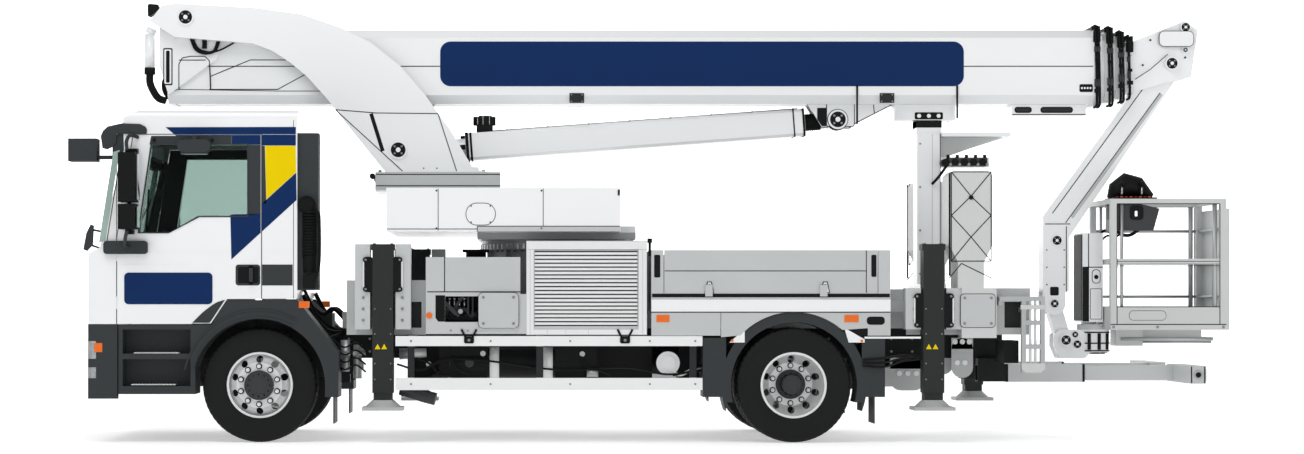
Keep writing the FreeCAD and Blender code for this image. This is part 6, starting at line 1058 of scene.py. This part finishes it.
def make_cylinder_fittings():
    """The collars at both ends of the lift cylinder's cover, a valve on its foot and the pipe along its top."""
    low, high = np.array((-2352.0, 0, 2627)), np.array((1688.0, 0, 2923))
    along = (high - low) / np.linalg.norm(high - low)
    up = np.array((-along[2], 0, along[0]))
    shape = Shape().of(1)
    for start, end, reach in ((612, 640, 131), (652, 672, 129), (3640, 3652, 128), (3728, 3748, 128)):
        corners = [low + along * a + up * b for a, b in ((start, -reach), (end, -reach), (end, reach), (start, reach))]
        shape.prism([(p[0], p[2]) for p in corners], -reach, reach)
    for y, z in ((100, 0), (0, 90), (-100, 0), (0, -90)):
        shape.rod(low + along * 560 + (0, y, z), low + along * 640 + (0, y, z), 22, 14)
    top = low + up * 132
    shape.of(2).rod(top + along * 820, top + along * 3700, 9, 10).of(1)
    for reach in range(1000, 3700, 380):
        shape.rod(top + along * reach + (0, -26, -3), top + along * reach + (0, 26, -3), 13, 10)
    base = top + along * 800
    shape.box((base[0] - 80, base[0] + 70), (-70, 70), (base[2] - 6, base[2] + 66))
    shape.rod(base + (-110, -40, 96), base + (96, -40, 96), 42, 22)
    shape.rod(base + (-60, 40, 120), base + (60, 40, 120), 34, 20)
    for reach in (-70, -20, 40):
        shape.of(2).ring(base + (reach, -40, 96), "x", 42, 5, 24, 8)
    shape.make("cylinder_fittings", "cylinder_barrel", "white_paint", "black_plastic", "machined_steel")
    gaiter = Shape()
    for reach in range(3756, 3900, 18):
        gaiter.rod(low + along * reach, low + along * (reach + 9), 81, 30, tip=76)
        gaiter.rod(low + along * (reach + 9), low + along * (reach + 18), 76, 30, tip=81)
    gaiter.make("rod_gaiter", "cylinder_rod", "black_rubber")


# Jib, carrier and basket
def make_jib_fittings():
    """The jib's edge joints and pin covers, and the pins, rings and bolts of the swivel below its carrier."""
    top, bend = np.array((4700.0, 3330.0)), np.array((3740.0, 2010.0))
    along = (bend - top) / np.linalg.norm(bend - top)
    across = np.array((-along[1], along[0]))
    shape = Shape(JIB_SIDE, 1.5).pin_cap(3712, 1808, 52).pin_cap(3690, 1225, 44).of(1)
    for reach in (-84, 66):
        shape.line([top + along * 150 + across * reach, bend + across * reach])
    shape.line([(3606, 1960), (3836, 1960)]).line([(3800, 1940), (3800, 1330)])
    shape.studs((3620, 3780), (1400, 1560, 1720), 3, 7).tile((3650, 3730), (1300, 1380), 14)
    shape.of(3).film([top + along * a + across * b for a, b in ((150, 70), (1560, 70), (1560, 98), (150, 98))])
    shape.mirror().make("jib_fittings", "folding_jib", "white_paint", "black_plastic", "zinc_bolts", "grey_powder_coat")
    pins = Shape(148).pin_cap(3789, 889, 54).on(112).pin_cap(3900, 850, 44).pin_cap(3880, 940, 34).mirror()
    pins.of(1).bar("z", (4070, 0, 760), 776, 110, 36)
    for z in (790, 860, 960):
        pins.ring((4070, 0, z), "z", 149, 6, 48, 8)
    for x, y in arc(4070, 0, 149, -150, -45, 3):
        pins.bar("z", (x, y, 800), 950, 16, 12)
    pins.of(2).bolts(circle_of((4070, 0, 776), 126, 10, "z"), DOWN, 8, 9)
    pins.make("carrier_pins", "basket_carrier", "white_paint", "black_plastic", "zinc_bolts")


def make_basket_fittings():
    """Inner posts, far rails, floor plate, corner joints, the swivel rods, cabinet panels and the control cover."""
    inner = BASKET_SIDE - 22
    shape = Shape(BASKET_SIDE, 1.5)
    shape.bar("z", (4240, -inner, 1090), 2136, 15, 14).bar("z", (5085, -inner, 1090), 2136, 22, 14)
    shape.bar("x", (4300, -120, 900), 5150, 17, 16).of(3).line([(4134, 1036), (5187, 1036)])
    for x in (4192, 5128):
        shape.line([(x, 1040), (x, 2130)], 7)
    for z, stop, width in ((1196, 5126, 7), (2134, 5128, 7), (1570, 5128, 5), (1610, 5128, 5)):
        shape.line([(4192, z), (stop, z)], width)
    shape.tile((4300, 4640), (1072, 1162), 40).of(4).tile((4304, 4636), (1076, 1158), 36, 2)
    shape.of(1).studs((4160, 4560, 5160), (1012,), 4, 14).mirror()
    shape.of(3).box((4140, 4180), (30 - BASKET_SIDE, 90 - BASKET_SIDE), (1200, 2120))
    shape.of(2).box((4150, 5150), (-430, 430), (1035, 1038)).of(0).bar("x", (4495, -60, 870), 5150, 12, 12)
    for z in (1290, 1905):
        shape.bar("x", (4160, inner, z), 5160, 14, 14).bar("y", (5160, -inner, z), inner, 14, 14)
    shape.make("basket_fittings", "work_basket", "galvanised_steel", "zinc_bolts", "tread_plate", "black_plastic",
               "pale_powder_coat")
    desk = Shape(DESK_SIDE).strip((3935, 3990), (1060, 1560), 2)
    desk.bar("y", (4060, -DESK_SIDE, 1470), -DESK_SIDE - 6, 20, 20)
    desk.line([(3990, 1060), (3990, 1870)]).line([(3935, 1560), (4120, 1560)])
    desk.tile((4004, 4114), (1080, 1364), 10, 1.5).tile((4020, 4100), (1410, 1540), 34, 1.5)
    desk.of(5).tile((4009, 4109), (1085, 1359), 7, 3).tile((4026, 4094), (1416, 1534), 30, 3)
    desk.mirror().of(0).box((3929, 3935), (-175, 175), (1070, 1860))
    desk.hull([(4210, -200, 2180), (4250, -200, 2260), (4330, -200, 2310), (4430, -200, 2290), (4560, -200, 2200)],
              [60, 96, 120, 104, 40], 20)
    desk.box((4180, 4570), (-396, -4), (2176, 2196)).box((4186, 4230), (-340, -60), (2000, 2180))
    for x, y in ((4260, -330), (4440, -330)):
        desk.of(1).rod((x, y, 2190), (x + 8, y, 2300), 9, 12)
        desk.of(0).hull([(x + 8, y, 2296), (x + 9, y, 2314), (x + 9, y, 2336), (x + 9, y, 2344)], [10, 22, 22, 10], 18)
    for number in range(8):
        desk.of(2 + number % 2).bar("z", (4210 + number * 42, -376, 2190), 2203, 13, 18)
    desk.of(0)
    for path, radius in (
            ([(4210, -300, 2180), (4200, -320, 1960), (4240, -330, 1870), (4330, -330, 1850), (4420, -320, 1900)], 16),
            ([(4120, 100, 1800), (4180, 60, 1900), (4240, -40, 1880), (4260, -140, 1900)], 14),
            ([(4120, 60, 1760), (4200, 20, 1850), (4280, -60, 1850), (4320, -160, 1895)], 10)):
        desk.hose(path, radius)
    desk.on(414).tile((4320, 4440), (1990, 2120), 30, 4).on(418).of(4).tile((4360, 4384), (2020, 2070), 8, 3)
    desk.make("control_fittings", "work_basket", "black_plastic", "machined_steel", "red_lens", "amber_lens",
              "mirror_glass", "white_paint")


# Stage
EYE_PLACE, EYE_LENS, EYE_SHIFT = (-1.239, -24.25, 1.258), 72.2, (0.101, 0.056)


def sheet(name, material, corners):
    """One large face of the room."""
    mesh = bpy.data.meshes.new(name)
    mesh.from_pydata(corners, [], [(0, 1, 2, 3)])
    mesh.materials.append(MATERIALS[material])
    return link(name, mesh)


def make_stage():
    """The pale floor, the white room, soft lamps and the camera that repeats the photograph's view."""
    scene = bpy.context.scene
    scene.view_settings.view_transform = "Standard"
    world = bpy.data.worlds.new("white_room")
    scene.world = world
    world.use_nodes = True
    back = next(n for n in world.node_tree.nodes if n.type == "BACKGROUND")
    back.inputs["Color"].default_value = (1, 1, 1, 1)
    back.inputs["Strength"].default_value = 0.4
    surface("studio_floor", "#f4f4f4", 0.9, grain=5, depth=0.02, shade=0.0, glow=0.5)
    surface("studio_wall", "#ffffff", 1.0, grain=5, depth=0.0, shade=0.0, glow=1.0)
    floor = sheet("floor", "studio_floor", [(-150, -150, 0), (150, -150, 0), (150, 150, 0), (-150, 150, 0)])
    wall = sheet("backdrop", "studio_wall", [(-60, 60, -1), (60, 60, -1), (60, 60, 60), (-60, 60, 60)])
    for name, place, turn, size, power in (
            ("key", (-6.0, -9.0, 14.0), (32, 0, -20), 9.0, 900),
            ("fill", (8.0, -14.0, 6.0), (65, 0, 30), 8.0, 220),
            ("back", (2.0, 9.0, 12.0), (-36, 0, 0), 8.0, 300)):
        light = bpy.data.lights.new(name, "AREA")
        light.size = size
        light.energy = power
        lamp = link(name, light)
        lamp.location = place
        lamp.rotation_euler = [math.radians(a) for a in turn]
    eye = bpy.data.cameras.new("eye")
    eye.sensor_width = 36.0
    eye.lens = EYE_LENS
    eye.shift_x, eye.shift_y = EYE_SHIFT
    camera = link("eye", eye)
    camera.location = EYE_PLACE
    camera.rotation_euler = (math.pi / 2, 0, 0)
    scene.camera = camera


# Add-on
class TruckLooks(bpy.types.PropertyGroup):
    """What a user would change."""
    body_colour: bpy.props.FloatVectorProperty(
        name="Body colour", description="Paint of the cab, boom and turntable", subtype="COLOR", size=3,
        min=0.0, max=1.0, default=linear("#f1f3f4")[:3])
    navy_colour: bpy.props.FloatVectorProperty(
        name="Dark stripe", description="Film of the dark stripes and blank plates", subtype="COLOR", size=3,
        min=0.0, max=1.0, default=linear("#142e5c")[:3])
    yellow_colour: bpy.props.FloatVectorProperty(
        name="Bright stripe", description="Film of the bright stripe", subtype="COLOR", size=3,
        min=0.0, max=1.0, default=linear("#e9cb00")[:3])


BUILDERS = (make_materials, dress_nodes, make_tyres, make_wheel_fittings, make_stripes, make_door_fittings,
            make_cab_front, make_cab_side_gear, make_mirrors, make_leg_fittings, make_support_fittings,
            make_cabinet_fittings, make_bed_fittings, make_underside_fittings, make_rear_fittings,
            make_turntable_fittings, make_gooseneck_fittings, make_boom_fittings, make_section_heads,
            make_cylinder_fittings, make_jib_fittings, make_basket_fittings, make_stage)


def operator_for(build):
    """An operator class that runs one of the builders."""
    def execute(self, context):
        build()
        return {"FINISHED"}
    name = build.__name__
    return type(f"TRUCK_OT_{name}", (bpy.types.Operator,), {
        "bl_idname": f"truck.{name}", "bl_label": name.replace("_", " ").capitalize(), "__doc__": build.__doc__,
        "execute": execute})


OPERATORS = [operator_for(build) for build in BUILDERS]


class TRUCK_PT_panel(bpy.types.Panel):
    """Lists the truck's operators in the sidebar."""
    bl_label = "Cherry picker truck"
    bl_idname = "TRUCK_PT_panel"
    bl_space_type = "VIEW_3D"
    bl_region_type = "UI"
    bl_category = "Truck"

    def draw(self, context):
        looks = context.scene.truck_looks
        for name in ("body_colour", "navy_colour", "yellow_colour"):
            self.layout.prop(looks, name)
        for operator in OPERATORS:
            self.layout.operator(operator.bl_idname)


CLASSES = [TruckLooks, TRUCK_PT_panel] + OPERATORS


def register():
    """Registers the classes and the scene's settings."""
    for item in CLASSES:
        bpy.utils.register_class(item)
    bpy.types.Scene.truck_looks = bpy.props.PointerProperty(type=TruckLooks)


def unregister():
    """Takes them away again."""
    del bpy.types.Scene.truck_looks
    for item in reversed(CLASSES):
        bpy.utils.unregister_class(item)


def main():
    """Registers, runs every operator in order and writes both boxes."""
    register()
    for build in BUILDERS:
        getattr(bpy.ops.truck, build.__name__)()
    bpy.context.view_layer.update()


if __name__ == "__main__":
    main()
